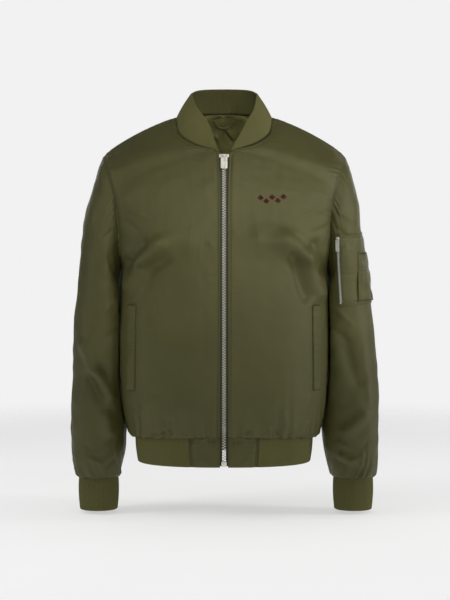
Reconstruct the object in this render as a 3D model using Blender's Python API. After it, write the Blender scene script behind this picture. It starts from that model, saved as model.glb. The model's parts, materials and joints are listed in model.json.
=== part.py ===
"""Bomber jacket in its worn shape with no wearer: satin shell, rib collar, cuffs and hem band, zip front,
welt pockets, and a zipped utility pocket on the left sleeve.

Metres, +Z up. The front faces -Y and the wearer's left arm is at +X. The origin lies midway between the
high points of the two shoulders, where the wearer holds the jacket up.
"""

import math
from collections import namedtuple

import bpy
import numpy as np

# Cloth walls and the clearances between pieces
SHELL = 0.0020
RIB = 0.0026
THIN = 0.0010
SEAM_GAP = 0.0003
EVEN_LIMIT = 0.6  # a wall is thickened at a bend by 1 / 0.6 at most

# Body: the panels stop this far from the middle of the zip
ZIP_HALF = 0.009
COLUMNS = 13  # across half a panel
TAB_COLUMNS = 4  # the satin tabs of the hem span the first columns from the zip
TAB_SHARE = 0.263  # and this share of the way to the side seam
SHOULDER_DROP = 1.22  # how a row rounds down towards the shoulder tip

# Rib bands
HEM_TOP = -0.586
HEM_BOTTOM = -0.650
HEM_TAPER = 0.975
CUFF_TOP = -0.674
CUFF_BOTTOM = -0.7450
CUFF_TAPER = 0.970
BAND_INSET = 0.0006  # a band starts this far inside the rolled edge of the satin above it
BAND_ROUND = 0.002
BAND_ROWS = 3
COLLAR_ROWS = 4
COLLAR_ROUND = 0.004

# A row of a half panel, from its inner end (zip or centre back, then neckline) to its outer end
# (side seam, then armhole). fullness is the exponent of the rounded row between the ends.
BodyRow = namedtuple("BodyRow", "inner_x inner_y inner_z outer_x outer_y outer_z fullness steps")
FRONT_ROWS = [
    BodyRow(ZIP_HALF, -0.1200, -0.587, 0.1685, -0.012, -0.588, 2.35, 1),
    BodyRow(ZIP_HALF, -0.1215, -0.591, 0.1705, -0.012, -0.598, 2.35, 1),
    BodyRow(ZIP_HALF, -0.1235, -0.593, 0.1745, -0.012, -0.602, 2.35, 1),
    BodyRow(ZIP_HALF, -0.1265, -0.590, 0.1795, -0.012, -0.597, 2.35, 1),
    BodyRow(ZIP_HALF, -0.1300, -0.577, 0.1845, -0.012, -0.580, 2.35, 2),
    BodyRow(ZIP_HALF, -0.1380, -0.540, 0.1915, -0.012, -0.540, 2.35, 2),
    BodyRow(ZIP_HALF, -0.1435, -0.480, 0.1960, -0.012, -0.480, 2.35, 2),
    BodyRow(ZIP_HALF, -0.1450, -0.410, 0.1970, -0.012, -0.410, 2.35, 2),
    BodyRow(ZIP_HALF, -0.1450, -0.345, 0.1955, -0.011, -0.345, 2.35, 2),
    BodyRow(ZIP_HALF, -0.1430, -0.288, 0.1940, -0.008, -0.290, 2.35, 2),
    BodyRow(ZIP_HALF, -0.1390, -0.236, 0.1955, -0.040, -0.254, 2.30, 2),
    BodyRow(ZIP_HALF, -0.1310, -0.184, 0.1965, -0.058, -0.212, 2.25, 2),
    BodyRow(0.0095, -0.1165, -0.128, 0.2005, -0.065, -0.172, 2.20, 2),
    BodyRow(0.0125, -0.0910, -0.070, 0.2075, -0.062, -0.139, 2.10, 2),
    BodyRow(0.0520, -0.0790, -0.057, 0.2150, -0.051, -0.113, 2.00, 2),
    BodyRow(0.0860, -0.0420, -0.031, 0.2225, -0.030, -0.092, 2.00, 2),
    BodyRow(0.0910, 0.0000, -0.002, 0.2285, 0.002, -0.0745, 2.00, 0),
]
BACK_ROWS = [
    BodyRow(0.0, 0.1130, -0.588, 0.1685, -0.012, -0.588, 2.35, 1),
    BodyRow(0.0, 0.1150, -0.598, 0.1705, -0.012, -0.598, 2.35, 1),
    BodyRow(0.0, 0.1190, -0.602, 0.1745, -0.012, -0.602, 2.35, 1),
    BodyRow(0.0, 0.1235, -0.597, 0.1795, -0.012, -0.597, 2.35, 1),
    BodyRow(0.0, 0.1265, -0.580, 0.1845, -0.012, -0.580, 2.35, 2),
    BodyRow(0.0, 0.1275, -0.540, 0.1915, -0.012, -0.540, 2.35, 2),
    BodyRow(0.0, 0.1245, -0.480, 0.1960, -0.012, -0.480, 2.35, 2),
    BodyRow(0.0, 0.1215, -0.410, 0.1970, -0.012, -0.410, 2.35, 2),
    BodyRow(0.0, 0.1230, -0.345, 0.1955, -0.011, -0.345, 2.35, 2),
    BodyRow(0.0, 0.1260, -0.285, 0.1940, -0.008, -0.290, 2.35, 2),
    BodyRow(0.0, 0.1270, -0.228, 0.1935, 0.032, -0.256, 2.30, 2),
    BodyRow(0.0, 0.1240, -0.170, 0.1940, 0.054, -0.214, 2.25, 2),
    BodyRow(0.0, 0.1150, -0.108, 0.1985, 0.063, -0.172, 2.20, 2),
    BodyRow(0.0, 0.0970, -0.048, 0.2050, 0.062, -0.138, 2.10, 2),
    BodyRow(0.0, 0.0640, 0.008, 0.2135, 0.053, -0.112, 2.00, 1),
    BodyRow(0.0300, 0.0600, 0.0075, 0.2175, 0.0450, -0.102, 2.00, 2),
    BodyRow(0.0670, 0.0370, 0.0045, 0.2230, 0.0290, -0.0885, 2.00, 2),
    BodyRow(0.0910, 0.0000, -0.002, 0.2285, 0.002, -0.0745, 2.00, 0),
]
FRONT_CORNER = 13  # the table row where the zip edge turns into the neckline
BACK_CORNER = 14
UNDERARM = 9  # the table row of the underarm, in both tables

# Top edge of the collar, at the neckline rows of the front table and of the back table
CollarTop = namedtuple("CollarTop", "x y z")
COLLAR_FRONT = [
    CollarTop(0.0150, -0.0945, -0.0560),
    CollarTop(0.033, -0.0765, -0.0180),
    CollarTop(0.054, -0.0470, 0.0200),
    CollarTop(0.0625, -0.0100, 0.0430),
]
COLLAR_BACK = [
    CollarTop(0.000, 0.0520, 0.0560),
    CollarTop(0.024, 0.0490, 0.0555),
    CollarTop(0.050, 0.0290, 0.0520),
    CollarTop(0.0625, -0.0100, 0.0430),
]

# A ring of the sleeve: its outermost and innermost points, and how deep it is to the front and back of
# the line between them, which lies at y
SleeveRing = namedtuple("SleeveRing", "outer_x outer_z inner_x inner_z y front back steps")
SLEEVE_RINGS = [
    SleeveRing(0.2285, -0.0745, 0.1940, -0.290, 0.000, 0.066, 0.066, 1),
    SleeveRing(0.2365, -0.093, 0.2020, -0.293, 0.002, 0.069, 0.069, 1),
    SleeveRing(0.2480, -0.127, 0.2010, -0.301, 0.004, 0.071, 0.072, 2),
    SleeveRing(0.2595, -0.167, 0.1955, -0.315, 0.006, 0.072, 0.073, 2),
    SleeveRing(0.2675, -0.213, 0.1860, -0.335, 0.009, 0.072, 0.073, 2),
    SleeveRing(0.2740, -0.270, 0.1800, -0.362, 0.011, 0.071, 0.073, 2),
    SleeveRing(0.2800, -0.335, 0.1770, -0.399, 0.013, 0.070, 0.071, 2),
    SleeveRing(0.2855, -0.405, 0.1760, -0.444, 0.014, 0.068, 0.069, 2),
    SleeveRing(0.2895, -0.475, 0.1770, -0.496, 0.012, 0.065, 0.066, 2),
    SleeveRing(0.2915, -0.540, 0.1800, -0.548, 0.009, 0.061, 0.062, 2),
    SleeveRing(0.2915, -0.595, 0.1845, -0.598, 0.005, 0.058, 0.058, 2),
    SleeveRing(0.2895, -0.640, 0.1890, -0.640, 0.002, 0.053, 0.053, 1),
    SleeveRing(0.2855, -0.667, 0.1945, -0.667, 0.000, 0.047, 0.047, 1),
    SleeveRing(0.2820, -0.680, 0.1975, -0.680, 0.000, 0.043, 0.043, 1),
    SleeveRing(0.2790, -0.682, 0.2000, -0.682, 0.000, 0.040, 0.040, 1),
    SleeveRing(0.2770, -0.676, 0.2015, -0.676, 0.000, 0.038, 0.038, 0),
]
# The left arm hangs a little closer at the elbow and further out at the cuff
Lean = namedtuple("Lean", "z outward")
LEFT_ARM_LEAN = [
    Lean(-0.760, 0.006),
    Lean(-0.660, 0.007),
    Lean(-0.600, 0.003),
    Lean(-0.460, 0.000),
    Lean(-0.380, -0.002),
    Lean(-0.263, -0.007),
    Lean(-0.210, -0.007),
    Lean(-0.157, -0.004),
    Lean(-0.080, 0.000),
]
SLEEVE_FULLNESS = 2.15
SLEEVE_CLEAR = 0.0045  # the sleeve hangs this far off the side of the body
ARMPIT_CLEAR = 0.0030  # and this much more at the armpit


# The zip follows the fronts and then the tabs, this far behind their outer surface
ZIP_TOP = -0.0745
ZIP_END = -0.6480
CHAIN_HALF = 0.0030
CHAIN_FRONT = 0.0034  # ahead of the tapes
CHAIN_BACK = -0.0012
TAPE_FRONT = -0.0042
TAPE_REACH = 0.0165
TAPE_AT = [ZIP_END, -0.620, -0.598, -0.5905, -0.584, -0.577, -0.560, -0.530, -0.490, -0.440, -0.390]
TAPE_AT += [-0.340, -0.290, -0.250, -0.210, -0.175, -0.145, -0.120, -0.098, ZIP_TOP]
CHAIN_ROWS = 24

SliderSize = namedtuple(
    "SliderSize",
    "shoulder foot length front back lug lug_inside lug_wall pin bore barrel pin_down pin_out "
    "tab_half tab_top tab_end tab_corner tab_thick holes",
)
MAIN_SLIDER = SliderSize(
    shoulder=0.0068,
    foot=0.0050,
    length=0.0150,
    front=0.0050,
    back=0.0004,
    lug=0.0017,
    lug_inside=0.0027,
    lug_wall=0.0012,
    pin=0.0006,
    bore=0.0010,
    barrel=0.0019,
    pin_down=0.0045,
    pin_out=0.0074,
    tab_half=0.0062,
    tab_top=0.0032,
    tab_end=0.0275,
    tab_corner=0.0022,
    tab_thick=0.0016,
    holes=((0.0062, 0.0011), (0.0245, 0.0011)),
)
SLEEVE_SLIDER = SliderSize(
    shoulder=0.0036,
    foot=0.0028,
    length=0.0085,
    front=0.0070,
    back=0.0046,
    lug=0.0012,
    lug_inside=0.0016,
    lug_wall=0.0009,
    pin=0.0005,
    bore=0.0008,
    barrel=0.0014,
    pin_down=0.0030,
    pin_out=0.0089,
    tab_half=0.0036,
    tab_top=0.0022,
    tab_end=0.0240,
    tab_corner=0.0013,
    tab_thick=0.0012,
    holes=((0.0210, 0.0010),),
)

# What lies on a panel: each row of a piece runs between two columns of the panel at a height
PANEL_LIFT = 0.0007
WELT_THICK = 0.0016
Welt = namedtuple("Welt", "z inner_x outer_x")
WELT_ROWS = [
    Welt(-0.510, 0.1640, 0.1785),
    Welt(-0.480, 0.1640, 0.1785),
    Welt(-0.447, 0.1635, 0.1785),
    Welt(-0.415, 0.1630, 0.1780),
    Welt(-0.382, 0.1625, 0.1775),
    Welt(-0.352, 0.1620, 0.1765),
]
LINING_LOW = -0.125
LOOP_WIDTH = 0.0045
LOOP_HALF = 0.018
LOOP_TOP = 0.002
LOOP_DROP = 0.016

# The utility pocket on the left sleeve: its front edge at x and its back edge this many columns behind
# the outside of the arm
POCKET_LIFT = 0.0012
POCKET_THICK = 0.0010
POCKET_BEHIND = 4.5
POCKET_RISE = 0.006  # the outer side of the pocket sits higher
Edge = namedtuple("Edge", "z x")
POCKET_ROWS = [
    Edge(-0.3560, 0.2125),
    Edge(-0.3200, 0.2095),
    Edge(-0.2850, 0.2065),
    Edge(-0.2520, 0.2035),
    Edge(-0.2220, 0.2010),
]
PEN_LIFT = 0.0028
PEN_THICK = 0.0012
PEN_BEHIND = 1.4
PEN_ROWS = [Edge(-0.3480, 0.2490), Edge(-0.3000, 0.2480), Edge(-0.2560, 0.2470)]
SLEEVE_ZIP = [
    Edge(-0.2260, 0.2125),
    Edge(-0.2350, 0.2128),
    Edge(-0.2480, 0.2133),
    Edge(-0.2660, 0.2140),
    Edge(-0.2840, 0.2147),
    Edge(-0.3020, 0.2155),
    Edge(-0.3200, 0.2163),
    Edge(-0.3360, 0.2171),
    Edge(-0.3500, 0.2180),
]
SLEEVE_TAPE_HALF = 0.0045
SLEEVE_CHAIN_HALF = 0.0016

# A raised ridge (or a sunk one, with a negative height) from one end to the other, on the front of a
# half at +X
Fold = namedtuple("Fold", "x0 z0 x1 z1 width height")
FOLD_FRONT = -0.012
FRONT_RIGHT_FOLDS = [
    Fold(0.175, -0.315, 0.150, -0.268, 0.014, 0.006),
    Fold(0.150, -0.268, 0.118, -0.240, 0.015, 0.008),
    Fold(0.118, -0.240, 0.045, -0.229, 0.017, 0.006),
    Fold(0.174, -0.272, 0.148, -0.240, 0.013, -0.005),
    Fold(0.135, -0.285, 0.108, -0.268, 0.013, -0.005),
]
FRONT_LEFT_FOLDS = [
    Fold(0.176, -0.330, 0.148, -0.262, 0.014, 0.007),
    Fold(0.148, -0.262, 0.110, -0.232, 0.018, 0.006),
    Fold(0.110, -0.232, 0.045, -0.225, 0.018, 0.005),
    Fold(0.150, -0.335, 0.126, -0.262, 0.011, -0.006),
    Fold(0.182, -0.290, 0.166, -0.240, 0.009, -0.005),
]
SLEEVE_RIGHT_FOLDS = [
    Fold(0.262, -0.430, 0.240, -0.480, 0.012, 0.006),
    Fold(0.240, -0.480, 0.215, -0.525, 0.012, 0.006),
    Fold(0.250, -0.490, 0.225, -0.545, 0.011, -0.006),
    Fold(0.226, -0.545, 0.218, -0.590, 0.012, 0.006),
    Fold(0.235, -0.135, 0.215, -0.150, 0.012, -0.005),
]
SLEEVE_LEFT_FOLDS = [
    Fold(0.255, -0.655, 0.225, -0.640, 0.009, 0.004),
    Fold(0.262, -0.560, 0.232, -0.590, 0.013, 0.004),
    Fold(0.225, -0.420, 0.250, -0.500, 0.013, -0.004),
]


def clear_scene():
    for thing in list(bpy.data.objects):
        bpy.data.objects.remove(thing)


def finish(name, colour, roughness, metallic=0.0):
    """A plain material for one kind of cloth or metal."""
    made = bpy.data.materials.new(name)
    made.use_nodes = True
    shader = made.node_tree.nodes["Principled BSDF"]
    shader.inputs["Base Color"].default_value = (*colour, 1.0)
    shader.inputs["Roughness"].default_value = roughness
    shader.inputs["Metallic"].default_value = metallic
    return made


def eased(rows, steps):
    """The rows with steps[k] intervals from row k to the next, through every row and with no overshoot."""
    rows = np.asarray(rows, float)
    rise = np.diff(rows, axis=0)
    slope = np.zeros_like(rows)
    slope[0], slope[-1] = rise[0], rise[-1]
    before, after = rise[:-1], rise[1:]
    total = np.where(before + after == 0, 1, before + after)
    slope[1:-1] = np.where(before * after > 0, 2 * before * after / total, 0)
    made = []
    for k, count in enumerate(steps[: len(rows) - 1]):
        for t in np.arange(count) / count:
            made.append(
                rows[k] * (2 * t**3 - 3 * t**2 + 1)
                + rows[k + 1] * (3 * t**2 - 2 * t**3)
                + slope[k] * (t**3 - 2 * t**2 + t)
                + slope[k + 1] * (t**3 - t**2)
            )
    return np.array([*made, rows[-1]])


def along_line(points):
    """The distance of each point along a line."""
    return np.concatenate([[0], np.cumsum(np.linalg.norm(np.diff(points, axis=0), axis=1))])


def row_line(row):
    """One row of a half panel: a quarter of a rounded section from its inner end to its outer end."""
    turn = np.linspace(0, math.pi / 2, 90)
    across = np.sin(turn) ** (2 / row.fullness)
    back = 1 - np.clip(np.cos(turn), 0, 1) ** (2 / row.fullness)
    down = 1 - np.clip(1 - across**SHOULDER_DROP, 0, 1) ** (1 / SHOULDER_DROP)
    inner = np.array([row.inner_x, row.inner_y, row.inner_z])
    outer = np.array([row.outer_x, row.outer_y, row.outer_z])
    line = inner + (outer - inner) * np.stack([across, back, down], axis=1)
    tab = np.linspace(0, TAB_SHARE, TAB_COLUMNS + 1)
    rest = np.linspace(TAB_SHARE, 1, COLUMNS - TAB_COLUMNS + 1)
    along = along_line(line)
    at = np.concatenate([tab, rest[1:]]) * along[-1]
    return np.stack([np.interp(at, along, line[:, k]) for k in range(3)], axis=1)


def half_panel(table):
    """The outer surface of half the body at +X, as rows from the hem up and columns from the middle out."""
    return eased([row_line(row) for row in table], [row.steps for row in table])


def mirrored(grid):
    """The grid on the other side of the body, with its faces still pointing out."""
    return (grid * [-1, 1, 1])[:, ::-1]


def row_number(table, k):
    """Where table row k lies among the rows of a half panel."""
    return sum(row.steps for row in table[:k])


def armhole(front, back):
    """The closed armhole line at +X, from the shoulder tip down the front and up the back."""
    first = row_number(FRONT_ROWS, UNDERARM)
    down = front[first:, -1][::-1]
    up = back[first:, -1][1:-1]
    return np.concatenate([down, up])


def turns(ring):
    """The angle of each point of the armhole: 0 at the shoulder, 180 degrees at the underarm."""
    lowest = len(ring) // 2
    along = along_line(np.concatenate([ring, ring[:1]]))
    down = along[: lowest + 1] / along[lowest] * math.pi
    up = (along[lowest:-1] - along[lowest]) / (along[-1] - along[lowest]) * math.pi + math.pi
    return np.concatenate([down, up[1:]])


def ring_line(ring, angles):
    """A section of the sleeve at those angles."""
    outer = np.array([ring.outer_x, ring.y, ring.outer_z])
    inner = np.array([ring.inner_x, ring.y, ring.inner_z])
    cosine, sine = np.cos(angles), np.sin(angles)
    power = 2 / SLEEVE_FULLNESS
    along = np.sign(cosine) * np.abs(cosine) ** power
    depth = np.where(sine > 0, -ring.front, ring.back) * np.abs(sine) ** power
    made = (outer + inner) / 2 + along[:, None] * (outer - inner) / 2
    made[:, 1] += depth
    return made


def body_side(front, back, y, z):
    """How far out the side of the body reaches at each y and z, and above the underarm the armhole."""
    top = row_number(FRONT_ROWS, UNDERARM) + 1
    rings = np.concatenate([front[4:top], back[4:top, ::-1][:, 1:]], axis=1)
    reach = np.array([np.interp(y, ring[:, 1], ring[:, 0]) for ring in rings])
    heights = rings[:, COLUMNS, 2]
    side = np.array([np.interp(z[k], heights, reach[:, k]) for k in range(len(z))])
    hole = front[top - 1 :, -1]
    return side + np.interp(z, hole[:, 2], hole[:, 0] - hole[0, 0])


def sleeve(front, back):
    """The outer surface of the sleeve at +X: rows from the armhole to the cuff, columns round the arm."""
    hole = armhole(front, back)
    angles = turns(hole)
    lines = [ring_line(ring, angles) for ring in SLEEVE_RINGS]
    own = hole - lines[0]
    for k, share in enumerate((1.0, 0.55, 0.2)):
        lines[k] = lines[k] + own * share
    grid = eased(lines, [ring.steps for ring in SLEEVE_RINGS])
    for row in grid[1:]:
        clear = SLEEVE_CLEAR + ARMPIT_CLEAR * np.clip((row[:, 2] + 0.40) / 0.10, 0, 1)
        reach = body_side(front, back, row[:, 1], row[:, 2]) + clear
        near = row[:, 0] < reach
        row[near, 0] = reach[near]
    return grid


def leaned(grid):
    """The left arm's grid, moved outward by its lean: its outer side, and near the cuff all of it."""
    inner, outer = grid[:, :, 0].min(axis=1), grid[:, :, 0].max(axis=1)
    share = (grid[:, :, 0] - inner[:, None]) / (outer - inner)[:, None]
    low = np.clip((-0.56 - grid[:, :, 2]) / 0.08, 0, 1)
    table = np.array(LEFT_ARM_LEAN)
    moved = grid.copy()
    moved[1:, :, 0] += (np.maximum(share, low) * np.interp(grid[:, :, 2], *table.T))[1:]
    return moved


def closed(grid):
    """The grid with its first column again at the end."""
    return np.concatenate([grid, grid[:, :1]], axis=1)


def key(point):
    return tuple(int(round(c * 1e6)) for c in point)


def triangles(grid):
    """The faces of a grid, each quad cut along its shorter diagonal, in order round an outward normal."""
    for r in range(grid.shape[0] - 1):
        for c in range(grid.shape[1] - 1):
            a, b, d, e = grid[r, c], grid[r, c + 1], grid[r + 1, c + 1], grid[r + 1, c]
            if np.linalg.norm(a - d) < np.linalg.norm(b - e):
                found = [(a, b, d), (a, d, e)]
            else:
                found = [(a, b, e), (b, d, e)]
            yield from (face for face in found if len({key(p) for p in face}) == 3)


def face_normal(corners):
    across = np.cross(corners[1] - corners[0], corners[2] - corners[0])
    return across / max(np.linalg.norm(across), 1e-12)


def shared_normals(sheets):
    """The outward normal at every point of all the sheets, the same on both sides of a seam."""
    total = {}
    for grids in sheets.values():
        for grid in grids:
            for corners in triangles(grid):
                normal = face_normal(corners)
                for corner in corners:
                    total.setdefault(key(corner), []).append(normal)
    made = {}
    for place, found in total.items():
        mean = np.sum(found, axis=0)
        mean /= max(np.linalg.norm(mean), 1e-12)
        made[place] = mean, max(EVEN_LIMIT, min(float(mean @ one) for one in found))
    return made


def sheet_of(grids):
    """(points, faces) of a cloth surface put together from grids that share points."""
    points, index, faces = [], {}, []
    for grid in grids:
        for corners in triangles(grid):
            for corner in corners:
                if key(corner) not in index:
                    index[key(corner)] = len(points)
                    points.append(np.array(corner, float))
            faces.append([index[key(corner)] for corner in corners])
    return np.array(points), faces


def edges_of(faces):
    """The open edges of a surface, in the direction that its faces run."""
    found = {}
    for face in faces:
        for a, b in zip(face, face[1:] + face[:1]):
            found[a, b] = True
    return [edge for edge in found if edge[::-1] not in found]


def drawn_in(points, faces, normals, distance):
    """The points with every open edge moved into the cloth by that distance, square at corners."""
    inward = {}
    for a, b in edges_of(faces):
        along = points[b] - points[a]
        along /= np.linalg.norm(along)
        for end in (a, b):
            into = np.cross(normals[end], along)
            inward.setdefault(end, []).append(into / np.linalg.norm(into))
    moved = points.copy()
    for end, sides in inward.items():
        both = sides[0] + sides[-1]
        moved[end] += both * distance / max(1 + float(sides[0] @ sides[-1]), 0.3)
    return moved


def add_object(name, points, faces, material, smooth=True):
    mesh = bpy.data.meshes.new(name)
    mesh.from_pydata([tuple(p) for p in points], [], faces)
    mesh.materials.append(material)
    made = bpy.data.objects.new(name, mesh)
    JACKET.objects.link(made)
    if smooth:
        mesh.shade_smooth()
        mesh.set_sharp_from_angle(angle=math.radians(50))
    return made


def wall(name, grids, known, thickness, material, gap=SEAM_GAP):
    """A cloth piece as a closed wall under its outer surface, half a seam gap inside each edge."""
    points, faces = sheet_of(grids)
    normals = np.array([known[key(p)][0] for p in points])
    even = np.array([known[key(p)][1] for p in points])
    outer = drawn_in(points, faces, normals, gap / 2)
    inner = outer - normals * (thickness / even)[:, None]
    count = len(points)
    turned = [[i + count for i in reversed(face)] for face in faces]
    rim = []
    for a, b in edges_of(faces):
        if key(points[a]) < key(points[b]):  # cut like the rim of the piece across the seam
            rim += [[b, a, b + count], [a, a + count, b + count]]
        else:
            rim += [[b, a, a + count], [b, a + count, b + count]]
    return add_object(name, np.concatenate([outer, inner]), faces + turned + rim, material)


def folded(grid, folds):
    """The grid with each fold raised from it along its normals, fading out before the seams."""
    across = np.gradient(grid, axis=1)
    normals = np.cross(across, np.gradient(grid, axis=0))
    normals /= np.maximum(np.linalg.norm(normals, axis=2, keepdims=True), 1e-12)
    rows, columns = grid.shape[:2]
    fade = np.ones((rows, columns))
    for k in range(2):
        fade *= np.clip(np.minimum(np.arange(columns), np.arange(columns)[::-1]) / 2, 0, 1)[None, :]
        fade *= np.clip(np.minimum(np.arange(rows), np.arange(rows)[::-1]) / 3, 0, 1)[:, None]
    place = grid[:, :, [0, 2]]
    height = np.zeros((rows, columns))
    for fold in folds:
        start, end = np.array([fold.x0, fold.z0]), np.array([fold.x1, fold.z1])
        along = end - start
        share = ((place - start) @ along) / (along @ along)
        off = np.linalg.norm(place - start - np.clip(share, 0, 1)[..., None] * along, axis=2)
        height += fold.height * np.exp(-((off / fold.width) ** 2))
    front = grid[:, :, 1] < FOLD_FRONT
    return grid + normals * (height * fade * front)[..., None]


def band(ring, top, bottom, taper):
    """A rib band below a line of points: rows from its bottom edge up, with a slight bow."""
    middle = (ring.min(axis=0) + ring.max(axis=0)) / 2
    away = ring[:, :2] - middle[:2]
    away /= np.linalg.norm(away, axis=1, keepdims=True)
    start = ring.copy()
    start[:, :2] -= away * BAND_INSET
    rows = []
    for share in np.linspace(1, 0, BAND_ROWS + 1):
        row = start.copy()
        row[:, :2] = middle[:2] + (row[:, :2] - middle[:2]) * (1 - (1 - taper) * share)
        row[:, :2] += away * BAND_ROUND * math.sin(math.pi * share)
        row[:, 2] = top + (bottom - top) * share
        rows.append(row)
    return np.array(rows)


def collar(front, back):
    """The outer surface of half the collar: rows from the neckline up, columns from the zip to the centre back."""
    fronts = [row.steps for row in FRONT_ROWS[FRONT_CORNER:]]
    backs = [row.steps for row in BACK_ROWS[BACK_CORNER:]]
    low_front = front[row_number(FRONT_ROWS, FRONT_CORNER) :, 0]
    low_back = back[row_number(BACK_ROWS, BACK_CORNER) :, 0]
    low = np.concatenate([low_front, low_back[::-1][1:]])
    high = np.concatenate([eased(COLLAR_FRONT, fronts), eased(COLLAR_BACK, backs)[::-1][1:]])
    along = np.gradient(low, axis=0)
    along[-1] = (-1, 0, 0)
    out = np.cross(along, high - low)
    out /= np.linalg.norm(out, axis=1, keepdims=True)
    shares = np.linspace(0, 1, COLLAR_ROWS + 1)
    return np.array(
        [low + (high - low) * t + out * COLLAR_ROUND * math.sin(math.pi * t) for t in shares]
    )


def at_column(grid, column, z):
    """The point of a grid in a column, which may lie between two of them, at a height."""
    k = min(int(math.floor(column)), grid.shape[1] - 2)
    line = grid[:, k] + (grid[:, k + 1] - grid[:, k]) * (column - k)
    if line[0, 2] > line[-1, 2]:
        line = line[::-1]
    return np.array([np.interp(z, line[:, 2], line[:, axis]) for axis in range(3)])


def normal_at(grid, column, z):
    step = 0.25
    low, high = max(column - step, 0), min(column + step, grid.shape[1] - 1)
    across = at_column(grid, high, z) - at_column(grid, low, z)
    up = at_column(grid, column, z + 0.006) - at_column(grid, column, z - 0.006)
    out = np.cross(across, up) * math.copysign(1, grid[-1, 0, 2] - grid[0, 0, 2])
    return out / np.linalg.norm(out)


def column_of(grid, x, z, first, last):
    """The column between two where the grid reaches x at a height."""
    found = np.linspace(first, last, 120)
    places = [at_column(grid, column, z)[0] for column in found]
    return found[int(np.argmin(np.abs(np.array(places) - x)))]


def beside(grid, column, z, distance):
    """The column at that distance from another, measured on the cloth."""
    columns = np.linspace(column, column + math.copysign(3, distance), 60)
    columns = np.clip(columns, 0, grid.shape[1] - 1)
    along = along_line(np.array([at_column(grid, c, z) for c in columns]))
    return float(np.interp(abs(distance), along, columns))


def laid_on(grid, edges, lift, rise=0.0):
    """A grid that lies on another, from edges as (first column, last column, height) of each of its rows.

    It has a point wherever it crosses a column of the grid below. rise lowers the last column.
    """
    low = math.ceil(min(first for first, _, _ in edges))
    high = math.floor(max(last for _, last, _ in edges))
    rows = []
    for first, last, z in edges:
        row = []
        for c in np.clip([first, *range(low, high + 1), last], first, last):
            at = z - rise * (c - first) / (last - first)
            row.append(at_column(grid, c, at) + normal_at(grid, c, at) * lift)
        rows.append(row)
    return np.array(rows)


def loft(name, sections, material, smooth=False):
    """A closed solid through sections that each have the same number of points."""
    sections = np.asarray(sections)
    count, size = sections.shape[:2]
    faces = []
    for k in range(count - 1):
        for j in range(size):
            a, b = k * size + j, k * size + (j + 1) % size
            faces.append([a, b, b + size, a + size])
    faces.append(list(range(size))[::-1])
    faces.append([(count - 1) * size + j for j in range(size)])
    return add_object(name, sections.reshape(-1, 3), faces, material, smooth)


def strip(name, line, sides, width, low, high, material, smooth=False):
    """A flat strip along a line, from low to high above it. sides are its outward normals."""
    along = np.gradient(line, axis=0)
    along /= np.linalg.norm(along, axis=1, keepdims=True)
    across = np.cross(along, sides)
    across /= np.linalg.norm(across, axis=1, keepdims=True)
    corners = [(-width / 2, low), (width / 2, low), (width / 2, high), (-width / 2, high)]
    sections = [[p + s * a + n * b for a, b in corners] for p, s, n in zip(line, across, sides)]
    return loft(name, np.array(sections)[:, ::-1], material, smooth)


Place = namedtuple("Place", "origin side down out")


def placed_at(origin, down, out):
    """A frame on a surface: down along a zip, out of the cloth, and side as the hinge axis of its pull."""
    down = down / np.linalg.norm(down)
    side = np.cross(down, out)
    side /= np.linalg.norm(side)
    return Place(origin, side, down, np.cross(side, down))


def plate(name, outline, low, high, place, material):
    """An outline of (side, down) points in that frame, from low to high out of the cloth."""
    flat = [place.origin + place.side * a + place.down * b for a, b in outline]
    return loft(name, [[p + place.out * h for p in flat] for h in (low, high)], material)


def rod(name, radius, down, out, low, high, place, material, points=10):
    """A round rod along the side axis."""
    turn = [2 * math.pi * k / points for k in range(points)]
    ring = [
        place.origin
        + place.down * (down + radius * math.cos(t))
        + place.out * (out + radius * math.sin(t))
        for t in turn
    ]
    return loft(name, [[p + place.side * h for p in ring] for h in (low, high)], material)


def hole(name, radius, side, down, low, high, place, points=12):
    """A round cutter out of the cloth."""
    turn = [2 * math.pi * k / points for k in range(points)]
    outline = [(side + radius * math.cos(t), down + radius * math.sin(t)) for t in turn]
    return plate(name, outline, low, high, place, METAL)


def combined(base, operation, others):
    for other in others:
        other.hide_render = True
        other.hide_viewport = False
        change = base.modifiers.new(other.name, "BOOLEAN")
        change.operation = operation
        change.solver = "EXACT"
        change.object = other
    return base


def rounded(half_width, top, bottom, corner, points=4):
    """A rounded rectangle as (side, down) points."""
    outline = []
    for cx, cy, first in (
        (half_width - corner, bottom - corner, 0),
        (-half_width + corner, bottom - corner, 90),
        (-half_width + corner, top + corner, 180),
        (half_width - corner, top + corner, 270),
    ):
        for k in range(points + 1):
            t = math.radians(first + 90 * k / points)
            outline.append((cx + corner * math.cos(t), cy + corner * math.sin(t)))
    return outline


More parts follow.
